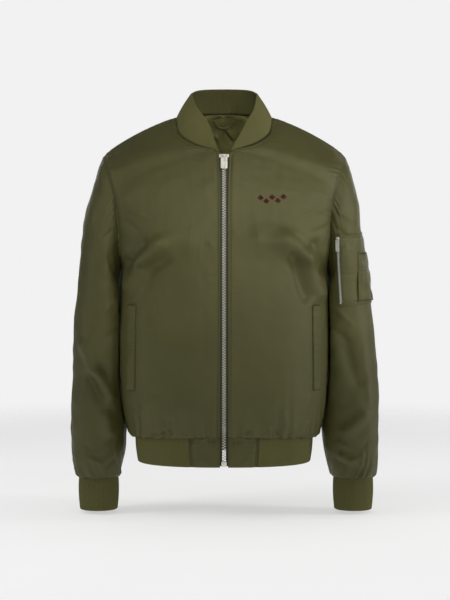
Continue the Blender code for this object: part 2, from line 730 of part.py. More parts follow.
def slider_and_pull(prefix, place, size):
    """A slider with a pin between two lugs, and the pull that turns on the pin."""
    top, bottom = 0.0, size.length
    body = plate(
        prefix + "_slider",
        [
            (-size.shoulder, top + 0.2 * bottom),
            (-0.5 * size.shoulder, top),
            (0.5 * size.shoulder, top),
            (size.shoulder, top + 0.2 * bottom),
            (size.foot, bottom),
            (-size.foot, bottom),
        ],
        size.back,
        size.front,
        place,
        METAL,
    )
    lugs = []
    for k, side in enumerate((-1, 1)):
        inner, outer = size.lug_inside, size.lug_inside + size.lug_wall
        sides = sorted((side * inner, side * outer))
        lugs.append(
            rod(f"{prefix}_lug_{k}", size.lug, size.pin_down, size.pin_out, *sides, place, METAL)
        )
        foot = [
            (sides[0], size.pin_down - size.lug),
            (sides[1], size.pin_down - size.lug),
            (sides[1], size.pin_down + size.lug),
            (sides[0], size.pin_down + size.lug),
        ]
        lugs.append(
            plate(f"{prefix}_foot_{k}", foot, size.front - 0.0005, size.pin_out, place, METAL)
        )
    reach = size.lug_inside + size.lug_wall / 2
    lugs.append(
        rod(prefix + "_pin", size.pin, size.pin_down, size.pin_out, -reach, reach, place, METAL)
    )
    if size.back < size.front - 0.003:  # a slider that grips its tapes from behind as well
        post = [(-0.0028, 0.001), (0.0028, 0.001), (0.0028, 0.007), (-0.0028, 0.007)]
        lugs.append(plate(prefix + "_post", post, -0.0023, size.back + 0.001, place, METAL))
        under = rounded(size.foot - 0.0003, 0.0004, bottom - 0.0004, 0.001)
        lugs.append(plate(prefix + "_under", under, -0.0029, -0.0015, place, METAL))
    combined(body, "UNION", lugs)

    half = size.lug_inside - 0.0003
    tab = plate(
        prefix + "_pull",
        [
            (p[0], p[1] + size.pin_down)
            for p in rounded(size.tab_half, size.tab_top, size.tab_end, size.tab_corner)
        ],
        size.pin_out - size.tab_thick / 2,
        size.pin_out + size.tab_thick / 2,
        place,
        METAL,
    )
    slim = half - 0.0002
    neck = plate(
        prefix + "_neck",
        [
            (-slim, size.pin_down),
            (slim, size.pin_down),
            (slim, size.pin_down + size.tab_top + 0.001),
            (-slim, size.pin_down + size.tab_top + 0.001),
        ],
        size.pin_out - size.tab_thick / 2 + 0.0001,
        size.pin_out + size.tab_thick / 2 - 0.0001,
        place,
        METAL,
    )
    barrel = rod(
        prefix + "_barrel", size.barrel, size.pin_down, size.pin_out, -half, half, place, METAL
    )
    combined(tab, "UNION", [neck, barrel])
    reach = half + 0.002
    cutters = [
        rod(prefix + "_bore", size.bore, size.pin_down, size.pin_out, -reach, reach, place, METAL)
    ]
    for k, (down, radius) in enumerate(size.holes):
        low, high = size.pin_out - 0.003, size.pin_out + 0.003
        cutters.append(
            hole(f"{prefix}_hole_{k}", radius, 0, size.pin_down + down, low, high, place)
        )
    combined(tab, "DIFFERENCE", cutters)


def alone(name, grids, thickness, material):
    wall(name, grids, shared_normals({name: grids}), thickness, material)


def front_zip(front, hem):
    """The zip: a tape behind each front, the closed chain between them, its box, slider and pull."""
    first = row_number(FRONT_ROWS, 4)
    line = np.concatenate([hem[:, 0], front[first:, 0]])
    line = line[line[:, 2] <= -0.069]
    heights = np.linspace(ZIP_END, ZIP_TOP, 200)
    line = np.stack([np.interp(heights, line[:, 2], line[:, k]) for k in range(3)], axis=1)
    line[:, 0] = 0
    along = along_line(line)

    def part_of(low, high, count):
        at = np.linspace(np.interp(low, heights, along), np.interp(high, heights, along), count + 1)
        return np.stack([np.interp(at, along, line[:, k]) for k in range(3)], axis=1)

    def outwards(points):
        rise = np.gradient(points, axis=0)
        out = np.cross([1, 0, 0], rise)
        return out / np.linalg.norm(out, axis=1, keepdims=True)

    run = np.stack([np.interp(TAPE_AT, heights, line[:, k]) for k in range(3)], axis=1)
    back_set = run + outwards(run) * TAPE_FRONT
    inner = back_set + [CHAIN_HALF + 0.0004, 0, 0]
    outer = back_set + [TAPE_REACH, 0, 0]
    tape = np.stack([inner, outer], axis=1)
    alone("zip_tape_left", [tape], THIN, TAPE)
    alone("zip_tape_right", [mirrored(tape)], THIN, TAPE)

    top = ZIP_TOP - 0.0155
    run = part_of(ZIP_END + 0.0100, top, CHAIN_ROWS)
    chain = run + outwards(run) * TAPE_FRONT
    low, high = CHAIN_BACK, CHAIN_FRONT
    strip("zip_chain", chain, outwards(run), 2 * CHAIN_HALF, low, high, METAL)

    run = part_of(ZIP_END, ZIP_END + 0.0097, 1)
    box = run + outwards(run) * TAPE_FRONT
    strip("zip_box", box, outwards(run), 0.0100, 0.0003, 0.0046, METAL)

    run = part_of(ZIP_TOP - 0.0152, ZIP_TOP, 1)
    out = outwards(run)[0]
    slider_and_pull("zip", placed_at(run[1] + out * TAPE_FRONT, run[0] - run[1], out), MAIN_SLIDER)


def inside_neck(back):
    """The lining that shows at the back of the neck, and the loop that the jacket hangs by."""
    rows = back[:, :6]
    first = int(np.searchsorted(rows[: row_number(BACK_ROWS, BACK_CORNER) + 1, 0, 2], LINING_LOW))
    lining = rows[first:-1]
    known = shared_normals({"back": [back[:, ::-1], back * [-1, 1, 1]]})
    inward = np.array([[known[key(p)][0] for p in row] for row in lining])
    lining = lining - inward * (SHELL + 0.0012)
    alone("lining_back", [lining[:, ::-1], lining * [-1, 1, 1]], THIN, LINING)

    back = back[: row_number(BACK_ROWS, BACK_CORNER) + 1]
    line, sides = [], []
    lift = SHELL + 0.0012 + THIN + 0.0006
    for x in np.linspace(-LOOP_HALF, LOOP_HALF, 15):
        z = LOOP_TOP - LOOP_DROP * (1 - (abs(x) / LOOP_HALF) ** 2.6)
        column = column_of(back, abs(x), z, 0, 5)
        out = -normal_at(back, column, z)
        place = at_column(back, column, z)
        out[0], place[0] = math.copysign(out[0], x), x
        line.append(place - out * lift)
        sides.append(-out)
    line, sides = np.array(line), np.array(sides)
    strip("hanger_loop", line, sides, LOOP_WIDTH, 0, THIN, LINING)


def sleeve_pocket(arm):
    """The utility pocket of the left sleeve, with its zip and the pen pocket on it."""
    behind = 6
    grid = closed(np.roll(arm[:, :-1], behind, axis=1))
    half = grid.shape[1] // 2

    def front_column(edge):
        return column_of(grid, edge.x, edge.z, behind, behind + half - 2)

    def between(edges, steps):
        made = []
        for a, b in zip(edges, edges[1:]):
            made += [Edge(a.z + (b.z - a.z) * t, a.x + (b.x - a.x) * t) for t in np.arange(steps) / steps]
        return [*made, edges[-1]]

    edges = [
        (behind - POCKET_BEHIND, front_column(edge), edge.z + POCKET_RISE)
        for edge in between(POCKET_ROWS, 2)
    ]
    pocket = laid_on(grid, edges[::-1], POCKET_LIFT + POCKET_THICK, POCKET_RISE)
    alone("sleeve_pocket", [pocket], POCKET_THICK, SATIN)
    edges = [(behind - PEN_BEHIND, front_column(edge), edge.z) for edge in between(PEN_ROWS, 3)]
    pen = laid_on(grid, edges[::-1], PEN_LIFT + PEN_THICK)
    alone("pen_pocket", [pen], PEN_THICK, SATIN)

    run = between(SLEEVE_ZIP, 1)
    columns = [front_column(edge) for edge in run]
    places = [at_column(grid, c, edge.z) for c, edge in zip(columns, run)]
    normals = [normal_at(grid, c, edge.z) for c, edge in zip(columns, run)]
    line, sides = np.array(places), np.array(normals)
    for name, half, first, lift, thick, material in (
        ("sleeve_zip_tape", SLEEVE_TAPE_HALF, 0, 0.0038, 0.0008, TAPE),
        ("sleeve_zip_chain", SLEEVE_CHAIN_HALF, 1, 0.0058, 0.0014, METAL),
    ):
        edges = [
            (beside(grid, c, edge.z, -half), beside(grid, c, edge.z, half), edge.z)
            for c, edge in zip(columns[first:], run[first:])
        ]
        alone(name, [laid_on(grid, edges, lift)], thick, material)
    slider_and_pull("sleeve_zip", placed_at(line[0], line[1] - line[0], sides[0]), SLEEVE_SLIDER)


clear_scene()
JACKET = bpy.data.collections.new("bomber_jacket")
bpy.context.scene.collection.children.link(JACKET)
SATIN = finish("satin", (0.085, 0.082, 0.038), 0.45)
KNIT = finish("rib_knit", (0.070, 0.068, 0.030), 0.85)
LINING = finish("lining", (0.030, 0.029, 0.010), 0.60)
TAPE = finish("zip_tape", (0.050, 0.047, 0.022), 0.90)
METAL = finish("aged_metal", (0.300, 0.290, 0.230), 0.35, 1.0)


def main():
    front = half_panel(FRONT_ROWS)
    back = half_panel(BACK_ROWS)
    seam = row_number(FRONT_ROWS, UNDERARM) + 1
    back[:seam, -1] = front[:seam, -1]
    arm = sleeve(front, back)
    neck = collar(front, back)
    left, right = folded(front, FRONT_LEFT_FOLDS), mirrored(folded(front, FRONT_RIGHT_FOLDS))
    arm_left = closed(folded(leaned(arm), SLEEVE_LEFT_FOLDS))
    arm_right = mirrored(closed(folded(arm, SLEEVE_RIGHT_FOLDS)))

    shell = {
        "front_left": [left],
        "front_right": [right],
        "back": [back[:, ::-1], back * [-1, 1, 1]],
        "sleeve_left": [arm_left],
        "sleeve_right": [arm_right],
        "collar": [neck, mirrored(neck)],
    }
    known = shared_normals(shell)
    for name, grids in shell.items():
        knit = name == "collar"
        wall(name, grids, known, RIB if knit else SHELL, KNIT if knit else SATIN)

    # Hem band: a satin tab each side of the zip, and rib from tab to tab round the back
    hem = np.concatenate([front[0], back[0][::-1][1:]])
    hem = np.concatenate([hem, (hem * [-1, 1, 1])[::-1][1:]])
    hem = band(hem, HEM_TOP, HEM_BOTTOM, HEM_TAPER)
    hem[:, 0, 0], hem[:, -1, 0] = ZIP_HALF, -ZIP_HALF
    bands = {
        "hem_tab_left": [hem[:, : TAB_COLUMNS + 1]],
        "hem_rib": [hem[:, TAB_COLUMNS : -TAB_COLUMNS]],
        "hem_tab_right": [hem[:, -TAB_COLUMNS - 1 :]],
    }
    known = shared_normals(bands)
    for name, grids in bands.items():
        wall(name, grids, known, RIB, KNIT if name == "hem_rib" else SATIN)

    for name, edge in (("cuff_left", arm_left[-1, :-1]), ("cuff_right", arm_right[-1, :-1])):
        ring = band(edge, CUFF_TOP, CUFF_BOTTOM, CUFF_TAPER)
        alone(name, [closed(ring[:, ::-1])], RIB, KNIT)

    front_zip(front, hem)
    for name, panel in (("welt_left", left), ("welt_right", right)):
        flip = -1 if name == "welt_right" else 1
        edges = []
        for row in WELT_ROWS:
            ends = [
                column_of(panel, flip * x, row.z, *((3, COLUMNS) if flip > 0 else (0, COLUMNS - 3)))
                for x in (row.inner_x, row.outer_x)
            ]
            edges.append((*sorted(ends), row.z))
        alone(name, [laid_on(panel, edges, PANEL_LIFT + WELT_THICK)], WELT_THICK, SATIN)
    inside_neck(back)
    sleeve_pocket(arm_left)


main()
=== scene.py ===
import json
import math
from collections import namedtuple

import bmesh
import bpy
import numpy as np
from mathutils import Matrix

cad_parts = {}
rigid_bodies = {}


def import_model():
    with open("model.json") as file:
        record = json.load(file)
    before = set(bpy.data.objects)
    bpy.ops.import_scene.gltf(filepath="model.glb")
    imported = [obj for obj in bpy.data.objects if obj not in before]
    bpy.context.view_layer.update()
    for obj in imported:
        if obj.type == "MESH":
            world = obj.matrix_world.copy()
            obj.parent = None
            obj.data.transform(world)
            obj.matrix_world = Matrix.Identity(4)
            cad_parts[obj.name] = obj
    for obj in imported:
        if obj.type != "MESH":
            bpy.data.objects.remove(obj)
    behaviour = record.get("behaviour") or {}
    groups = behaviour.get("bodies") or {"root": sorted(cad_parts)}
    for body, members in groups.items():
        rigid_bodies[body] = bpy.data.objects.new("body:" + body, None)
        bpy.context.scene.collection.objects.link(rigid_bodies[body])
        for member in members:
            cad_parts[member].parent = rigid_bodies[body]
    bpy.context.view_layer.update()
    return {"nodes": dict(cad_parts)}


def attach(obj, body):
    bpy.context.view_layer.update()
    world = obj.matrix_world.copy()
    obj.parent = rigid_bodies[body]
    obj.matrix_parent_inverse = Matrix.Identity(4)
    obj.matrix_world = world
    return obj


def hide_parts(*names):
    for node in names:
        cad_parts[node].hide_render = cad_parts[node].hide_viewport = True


for thing in list(bpy.data.objects):
    bpy.data.objects.remove(thing)
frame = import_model()

garment = "garment"
flip = np.array([-1, 1, 1])


def rowsOf(kind, rows):
    return [kind(*row) for row in rows]


# makes a node, with its inputs given as values or as sockets to link
def addNode(tree, kind, inputs=None, **settings):
    made = tree.nodes.new(kind)
    for key, value in settings.items():
        setattr(made, key, value)
    for key, value in (inputs or {}).items():
        if isinstance(value, bpy.types.NodeSocket):
            tree.links.new(value, made.inputs[key])
        else:
            made.inputs[key].default_value = value
    return made


def mathNode(tree, operation, *values, clamp=False):
    inputs = dict(enumerate(values))
    return addNode(tree, "ShaderNodeMath", inputs, operation=operation, use_clamp=clamp).outputs[0]


# a share of one value added to another
def shareNode(tree, value, share, rest):
    return mathNode(tree, "MULTIPLY_ADD", value, share, rest)


def vectorNode(tree, operation, inputs):
    return addNode(tree, "ShaderNodeVectorMath", inputs, operation=operation).outputs[0]


def noiseNode(tree, vector, scale, detail=2.0):
    inputs = {"Vector": vector, "Scale": scale, "Detail": detail}
    return addNode(tree, "ShaderNodeTexNoise", inputs).outputs[0]


def waveOf(tree, place, pitch):
    return mathNode(tree, "SINE", mathNode(tree, "MULTIPLY", place, 2 * math.pi / pitch))


# the piece's own "cloth" map in metres, and its two directions
def clothMap(tree):
    cloth = addNode(tree, "ShaderNodeUVMap", uv_map="cloth").outputs[0]
    split = addNode(tree, "ShaderNodeSeparateXYZ", {0: cloth}).outputs
    return cloth, split[0], split[1]


def ownPlace(tree):
    return addNode(tree, "ShaderNodeTexCoord").outputs["Object"]


def newMaterial(name, fixed):
    made = bpy.data.materials.new(name)
    made.use_nodes = True
    shader = made.node_tree.nodes["Principled BSDF"]
    for key, value in fixed.items():
        shader.inputs[key].default_value = value
    return made, made.node_tree, shader


# colour from a tone that runs between two stops of (place, colour)
def paint(tree, shader, tone, *stops):
    ramp = addNode(tree, "ShaderNodeValToRGB", {0: tone})
    for stop, (place, colour) in zip(ramp.color_ramp.elements, stops):
        stop.position = place
        stop.color = (*colour, 1)
    tree.links.new(ramp.outputs[0], shader.inputs["Base Color"])


def bump(tree, shader, height, depth, strength):
    made = addNode(tree, "ShaderNodeBump", {"Height": height, "Distance": depth, "Strength": strength})
    tree.links.new(made.outputs[0], shader.inputs["Normal"])


satinLook = {
    "dark": (0.0450, 0.0425, 0.0098),
    "light": (0.0610, 0.0576, 0.0140),
    "roughness": 0.52,
    "specular": 0.50,
    "glossTint": (1.0, 0.97, 0.70, 1),
    "sheen": 0.02,
    "twillPitch": 0.0007,
    "crepePitch": 0.0011,
    "weaveDepth": 0.00004,
}
# the lining is duller than the shell, and its colour is painted paler than the shell's as painted light,
# standing in for the light that falls inside the neck
liningPaintedLitLook = dict(satinLook, dark=(0.135, 0.129, 0.040), light=(0.225, 0.214, 0.072), roughness=0.48)


# shiny nylon satin: a fine twill on the cloth map, soft mottling, slubs and rubbed ridges
def satinCloth(name, look):
    made, tree, shader = newMaterial(name, {
        "Roughness": look["roughness"], "IOR": 1.5, "Specular IOR Level": look["specular"],
        "Specular Tint": look["glossTint"],
        "Sheen Weight": look["sheen"], "Sheen Roughness": 0.40, "Sheen Tint": (0.75, 0.74, 0.50, 1),
    })
    cloth, across, up = clothMap(tree)
    place = ownPlace(tree)
    twill = waveOf(tree, mathNode(tree, "ADD", across, up), look["twillPitch"])
    crepe = waveOf(tree, mathNode(tree, "SUBTRACT", across, up), look["crepePitch"])
    weave = shareNode(tree, crepe, 0.4, twill)
    streaks = addNode(tree, "ShaderNodeMapping", {"Vector": cloth, "Scale": (1600, 28, 1)}).outputs[0]
    slub = noiseNode(tree, streaks, 1.0, 3.0)
    broad = noiseNode(tree, place, 9.0, 4.0)
    fine = noiseNode(tree, place, 420.0)
    tone = shareNode(tree, broad, 0.70, mathNode(tree, "MULTIPLY", slub, 0.12))
    tone = shareNode(tree, fine, 0.20, tone)
    paint(tree, shader, tone, (0.34, look["dark"]), (0.68, look["light"]))
    gloss = shareNode(tree, slub, 0.10, look["roughness"] - 0.05)
    tree.links.new(shareNode(tree, broad, 0.06, gloss), shader.inputs["Roughness"])
    height = shareNode(tree, slub, 0.7, shareNode(tree, fine, 2.2, weave))
    bump(tree, shader, height, look["weaveDepth"], 0.75)
    return made


# rib knit: v-shaped loops up each rib, a little fuzz, and painted shade that darkens the valleys between the
# ribs
def ribKnit(loopPitch=0.0013, loopDepth=0.00014):
    made, tree, shader = newMaterial("oliveRibKnit", {
        "Roughness": 0.88, "Specular IOR Level": 0.22,
        "Sheen Weight": 0.16, "Sheen Roughness": 0.50, "Sheen Tint": (0.60, 0.60, 0.36, 1),
    })
    _, across, up = clothMap(tree)
    place = ownPlace(tree)
    ribCrestShare = mathNode(tree, "ABSOLUTE", waveOf(tree, across, 2))
    loops = waveOf(tree, shareNode(tree, ribCrestShare, -0.6 * loopPitch, up), loopPitch)
    fuzz = noiseNode(tree, place, 900.0, 3.0)
    broad = noiseNode(tree, place, 14.0, 3.0)
    tone = shareNode(tree, loops, 0.10, mathNode(tree, "MULTIPLY", fuzz, 0.5))
    # painted shade: the tone falls in the valleys between the ribs and rises on their crests
    tone = shareNode(tree, broad, 0.25, shareNode(tree, ribCrestShare, 0.22, tone))
    paint(tree, shader, tone, (0.22, (0.066, 0.0628, 0.0190)), (0.80, (0.144, 0.1375, 0.0455)))
    bump(tree, shader, shareNode(tree, fuzz, 1.5, loops), loopDepth, 0.8)
    return made


# zip tape: a herringbone of fine threads
def tapeCloth():
    made, tree, shader = newMaterial("wovenZipTape", {
        "Roughness": 0.85, "Specular IOR Level": 0.25, "Sheen Weight": 0.15, "Sheen Roughness": 0.6,
    })
    cloth, across, up = clothMap(tree)
    zigzag = mathNode(tree, "PINGPONG", across, 0.0016)
    weave = waveOf(tree, mathNode(tree, "ADD", zigzag, up), 0.0008)
    tone = shareNode(tree, weave, 0.25, noiseNode(tree, cloth, 700.0))
    paint(tree, shader, tone, (0.25, (0.034, 0.032, 0.014)), (0.75, (0.074, 0.070, 0.032)))
    bump(tree, shader, weave, 0.00015, 0.8)
    return made


# brushed, slightly tarnished metal with paler rubbed edges
def agedMetal():
    made, tree, shader = newMaterial("agedZipMetal", {"Metallic": 0.75})
    place = ownPlace(tree)
    tarnish = noiseNode(tree, place, 260.0, 5.0)
    edge = addNode(tree, "ShaderNodeNewGeometry").outputs["Pointiness"]
    rubbed = mathNode(tree, "MULTIPLY_ADD", edge, 3.0, -1.2, clamp=True)
    tone = shareNode(tree, rubbed, 0.45, mathNode(tree, "MULTIPLY", tarnish, 0.8))
    paint(tree, shader, tone, (0.25, (0.42, 0.40, 0.33)), (0.85, (0.84, 0.82, 0.72)))
    tree.links.new(shareNode(tree, tarnish, 0.25, 0.30), shader.inputs["Roughness"])
    bump(tree, shader, noiseNode(tree, place, 2600.0), 0.00004, 0.5)
    return made


# twisted sewing thread
def threadFinish(name, dark, light, roughness=0.55):
    made, tree, shader = newMaterial(name, {
        "Roughness": roughness, "Specular IOR Level": 0.25, "Sheen Weight": 0.05, "Sheen Roughness": 0.4,
    })
    tone = noiseNode(tree, ownPlace(tree), 1500.0)
    paint(tree, shader, tone, (0.3, dark), (0.7, light))
    bump(tree, shader, tone, 0.0001, 0.6)
    return made


finishes = {
    "satin": satinCloth("oliveSatin", satinLook),
    "rib_knit": ribKnit(),
    "lining": satinCloth("oliveLining", liningPaintedLitLook),
    "zip_tape": tapeCloth(),
    "aged_metal": agedMetal(),
}
thread = threadFinish("oliveThread", (0.022, 0.021, 0.008), (0.052, 0.050, 0.020))
redThread = threadFinish("darkRedThread", (0.045, 0.0022, 0.0040), (0.105, 0.0055, 0.0085), 0.60)
print("finishes ready")


# the distance of each point along a line
def lengthAlong(points):
    return np.concatenate([[0], np.cumsum(np.linalg.norm(np.diff(points, axis=0), axis=1))])


# the values of a line's points at some distances along it, or at other values that rise along it
def readAt(at, along, line):
    return np.stack([np.interp(at, along, line[:, k]) for k in range(3)], axis=1)


def unitOf(vectors):
    return vectors / np.linalg.norm(vectors, axis=-1, keepdims=True)


# a smooth line through the rows with no overshoot, read at places that count the steps between rows
def easedAt(rows, steps, places):
    rows = np.asarray(rows, float)
    rise = np.diff(rows, axis=0)
    slope = np.zeros_like(rows)
    slope[0], slope[-1] = rise[0], rise[-1]
    before, after = rise[:-1], rise[1:]
    total = np.where(before + after == 0, 1, before + after)
    slope[1:-1] = np.where(before * after > 0, 2 * before * after / total, 0)
    starts = np.concatenate([[0], np.cumsum(steps[: len(rows) - 1])])
    k = np.clip(np.searchsorted(starts, places, side="right") - 1, 0, len(rows) - 2)
    t = (np.asarray(places, float) - starts[k]) / (starts[k + 1] - starts[k])
    t = t.reshape(-1, *[1] * (rows.ndim - 1))
    return (
        rows[k] * (2 * t**3 - 3 * t**2 + 1)
        + rows[k + 1] * (3 * t**2 - 2 * t**3)
        + slope[k] * (t**3 - 2 * t**2 + t)
        + slope[k + 1] * (t**3 - t**2)
    )


seamSteps = (0, 0.0005, 0.0011, 0.0018, 0.0026, 0.0035, 0.0045, 0.0055, 0.0066, 0.008)


# distances from 0 to a length: close together near the ends that are seams, then even
def spread(length, spacing, closeStart=True, closeEnd=True):
    low = seamSteps if closeStart else (0,)
    high = seamSteps if closeEnd else (0,)
    count = max(1, round((length - low[-1] - high[-1]) / spacing))
    middle = np.linspace(low[-1], length - high[-1], count + 1)[1:-1]
    return np.concatenate([low, middle, length - np.array(high)[::-1]])


# places up a table of rows, evenly spaced on a line and with one exactly at each fixed place
def placesOn(line, dense, fixed, spacing, closeStart=True):
    along = lengthAlong(line)
    made = [fixed[0]]
    for k, (start, end) in enumerate(zip(fixed, fixed[1:])):
        low, high = np.interp([start, end], dense, along)
        at = low + spread(high - low, spacing, closeStart and k == 0, k == len(fixed) - 2)
        made += [*np.interp(at[1:-1], along, dense), end]
    return np.array(made)


# twice each face's area, along its normal
def crossOf(grid):
    return np.cross(grid[1:, 1:] - grid[:-1, :-1], grid[1:, :-1] - grid[:-1, 1:])


# outward normals at every point of all the grids, shared where they meet
def normalsOf(grids):
    sums = []
    for grid in grids:
        total = np.zeros_like(grid)
        cross = crossOf(grid)
        for rows in (slice(None, -1), slice(1, None)):
            for columns in (slice(None, -1), slice(1, None)):
                total[rows, columns] += cross
        sums.append(total.reshape(-1, 3))
    places = np.round(np.concatenate([grid.reshape(-1, 3) for grid in grids]) * 1e5).astype(np.int64)
    same = np.unique(places, axis=0, return_inverse=True)[1].ravel()
    merged = np.zeros((same.max() + 1, 3))
    np.add.at(merged, same, np.concatenate(sums))
    merged /= np.maximum(np.linalg.norm(merged, axis=1, keepdims=True), 1e-20)
    found, first = [], 0
    for grid in grids:
        count = grid.shape[0] * grid.shape[1]
        found.append(merged[same[first : first + count]].reshape(grid.shape))
        first += count
    return found


# distances over the cloth from a grid's four edges, and the "cloth" map in metres
def measured(grid):
    across = np.linalg.norm(np.diff(grid, axis=1), axis=2)
    up = np.linalg.norm(np.diff(grid, axis=0), axis=2)
    zeroColumn, zeroRow = np.zeros((grid.shape[0], 1)), np.zeros((1, grid.shape[1]))
    fromFirst = np.concatenate([zeroColumn, np.cumsum(across, axis=1)], axis=1)
    fromLow = np.concatenate([zeroRow, np.cumsum(up, axis=0)], axis=0)
    return {
        "first": fromFirst,
        "last": fromFirst[:, -1:] - fromFirst,
        "low": fromLow,
        "top": fromLow[-1:] - fromLow,
        "map": np.stack([fromFirst, fromLow], axis=2),
    }


def nearestEdge(sizes):
    return np.minimum.reduce([sizes[side] for side in allSides])


def smooth(low, high, value):
    t = np.clip((value - low) / (high - low), 0, 1)
    return t * t * (3 - 2 * t)


# soft noise from a few waves in fixed directions, about -1 to 1
def softNoise(points, size, seed, waves=9):
    source = np.random.default_rng(seed)
    total = np.zeros(points.shape[:-1])
    for k in range(waves):
        direction = source.normal(size=3)
        direction *= 2 * math.pi / (size * source.uniform(0.7, 1.5) * np.linalg.norm(direction))
        total += np.sin(points @ direction + source.uniform(0, 2 * math.pi))
    return total / math.sqrt(waves / 1.4)


Crease = namedtuple("crease", "x0 z0 x1 z1 width height")


# how far each place is from a line between two points, and how far along it
def offLine(place, crease):
    start, end = np.array([crease.x0, crease.z0]), np.array([crease.x1, crease.z1])
    along = end - start
    share = ((place - start) @ along) / (along @ along)
    off = np.linalg.norm(place - start - np.clip(share, 0, 1)[..., None] * along, axis=-1)
    return off, share


foldShare = 1.55  # the broad folds stand this much higher than the solid's


# the broad folds of the cut
def foldHeight(place, folds):
    height = np.zeros(place.shape[:-1])
    for fold in folds:
        off, _ = offLine(place, fold)
        height += foldShare * fold.height * np.exp(-((off / fold.width) ** 2))
    return height


# finer creases: a sharper crest that fades out towards both ends
def creaseHeight(place, creases):
    height = np.zeros(place.shape[:-1])
    for crease in creases:
        off, share = offLine(place, crease)
        ends = np.clip(np.sin(math.pi * np.clip(share * 0.9 + 0.05, 0, 1)), 0, 1) ** 0.7
        height += 1.35 * crease.height * ends / (1 + (off / crease.width) ** 2) ** 1.5
    return height


# a seam drawn in along an edge
def seamSink(distance, depth=0.0013, width=0.0019):
    return -depth * np.exp(-distance / width)


# the channel that a line of stitches pulls in
def channel(distance, at, depth=0.0008, width=0.0014):
    return -depth * np.exp(-(((distance - at) / width) ** 2))


# uneven waves along a seam, highest a little way off it
def puckers(distance, along, width, height, pitch, seed):
    turn = 2 * math.pi * along / pitch
    wave = np.sin(turn + 1.4 * np.sin(turn / 3.1 + seed) + 0.9 * np.sin(turn / 7.3 + 2 * seed))
    uneven = 0.6 + 0.4 * np.sin(turn / 5.3 + 3 * seed)
    return height * wave * uneven * (distance / width) * np.exp(1 - distance / width)


def quadFaces(rows, columns, first=0):
    index = first + np.arange(rows * columns).reshape(rows, columns)
    corners = index[:-1, :-1], index[:-1, 1:], index[1:, 1:], index[1:, :-1]
    return np.stack(corners, axis=-1).reshape(-1, 4)


def addObject(name, data):
    made = bpy.data.objects.new(name, data)
    bpy.context.scene.collection.objects.link(made)
    return made


# an object from points, faces, a map point for each point and a material number for each face
def addMesh(name, points, faces, mapPoints, numbers, materials):
    faces = [list(map(int, face)) for face in faces]
    places = np.round(points * 1e6).astype(np.int64)
    _, firsts, same = np.unique(places, axis=0, return_index=True, return_inverse=True)
    same = same.ravel()
    kept, loopMap, keptNumbers = [], [], []
    for face, number in zip(faces, numbers):
        corners = same[face]
        use = [k for k in range(len(face)) if corners[k] != corners[k - 1]]
        if len(use) > 2:
            kept.append([int(corners[k]) for k in use])
            loopMap += [face[k] for k in use]
            keptNumbers.append(number)
    mesh = bpy.data.meshes.new(name)
    mesh.from_pydata(points[firsts].tolist(), [], kept)
    layer = mesh.uv_layers.new(name="cloth")
    layer.data.foreach_set("uv", np.asarray(mapPoints)[loopMap].astype(np.float32).ravel())
    for material in materials:
        mesh.materials.append(material)
    mesh.polygons.foreach_set("material_index", np.array(keptNumbers, np.int32))
    mesh.shade_smooth()
    mesh.update()
    if volumeOf(mesh) < 0:
        mesh.flip_normals()
    return addObject(name, mesh)


def volumeOf(mesh):
    mesh.calc_loop_triangles()
    points = np.empty(len(mesh.vertices) * 3)
    mesh.vertices.foreach_get("co", points)
    corners = np.empty(len(mesh.loop_triangles) * 3, np.int32)
    mesh.loop_triangles.foreach_get("vertices", corners)
    a, b, c = points.reshape(-1, 3)[corners.reshape(-1, 3)].transpose(1, 0, 2)
    return float(np.einsum("ij,ij->i", a, np.cross(b, c)).sum() / 6)


# the faces that join a fine edge to the coarse edge behind it
def rimFaces(fineEdge, coarseEdge, stops):
    made = []
    for k, (start, end) in enumerate(zip(stops, stops[1:])):
        made += [(fineEdge[i + 1], fineEdge[i], coarseEdge[k]) for i in range(start, end)]
        made.append((fineEdge[end], coarseEdge[k], coarseEdge[k + 1]))
    return made


clothCuts = {}
triangleCount = {}
allSides = {"first": 0, "last": 0, "low": 0, "top": 0}
# one grid of a piece, with the row that each of its open sides starts from
Part = namedtuple("part", "outer inner sides", defaults=[allSides])


# a wall of cloth: fine outer grids, coarser inner ones, and rims along the open sides
def clothPiece(name, parts, slotName, replaced, inside=None, held="hung", stride=3, mirror=False, cut=True):
    points, mapPoints, faces, numbers, first = [], [], [], [], 0
    area, width, length = 0, 0, 0
    for piece in parts:
        sizes = measured(piece.outer)
        rows, columns = piece.outer.shape[:2]
        rowStops = sorted({*range(0, rows, stride), rows - 1, *piece.sides.values()})
        columnStops = sorted({*range(0, columns, stride), columns - 1})
        coarse = np.ix_(rowStops, columnStops)
        outerIndex = first + np.arange(rows * columns).reshape(rows, columns)
        outerFaces = quadFaces(rows, columns, first)
        first += rows * columns
        size = len(rowStops), len(columnStops)
        innerIndex = first + np.arange(size[0] * size[1]).reshape(size)
        innerFaces = quadFaces(*size, first)[:, ::-1]
        first += innerIndex.size
        rims = []
        for side, start in piece.sides.items():
            at = -1 if side in ("last", "top") else 0
            if side in ("low", "top"):
                rim = rimFaces(outerIndex[at], innerIndex[at], columnStops)
            else:
                stops = [stop for stop in rowStops if stop >= start]
                rim = rimFaces(outerIndex[:, at], innerIndex[len(rowStops) - len(stops) :, at], stops)
            rims += [face[::-1] for face in rim] if side in ("first", "top") else rim
        points += [piece.outer.reshape(-1, 3), piece.inner[coarse].reshape(-1, 3)]
        mapPoints += [sizes["map"].reshape(-1, 2), sizes["map"][coarse].reshape(-1, 2)]
        faces += [*outerFaces, *innerFaces, *rims]
        numbers += [0] * len(outerFaces) + [1] * len(innerFaces) + [0] * len(rims)
        width += sizes["first"][:, -1].max()
        length = max(length, sizes["low"][-1].max())
        area += np.linalg.norm(crossOf(piece.outer), axis=2).sum() / 2
    points = np.concatenate(points) * (flip if mirror else 1)
    materials = [finishes[slotName], finishes[inside or slotName]]
    made = addMesh(name, points, faces, np.concatenate(mapPoints), numbers, materials)
    if cut:
        clothCuts[name] = (made, width, length, area, held)
    settle(made, replaced)
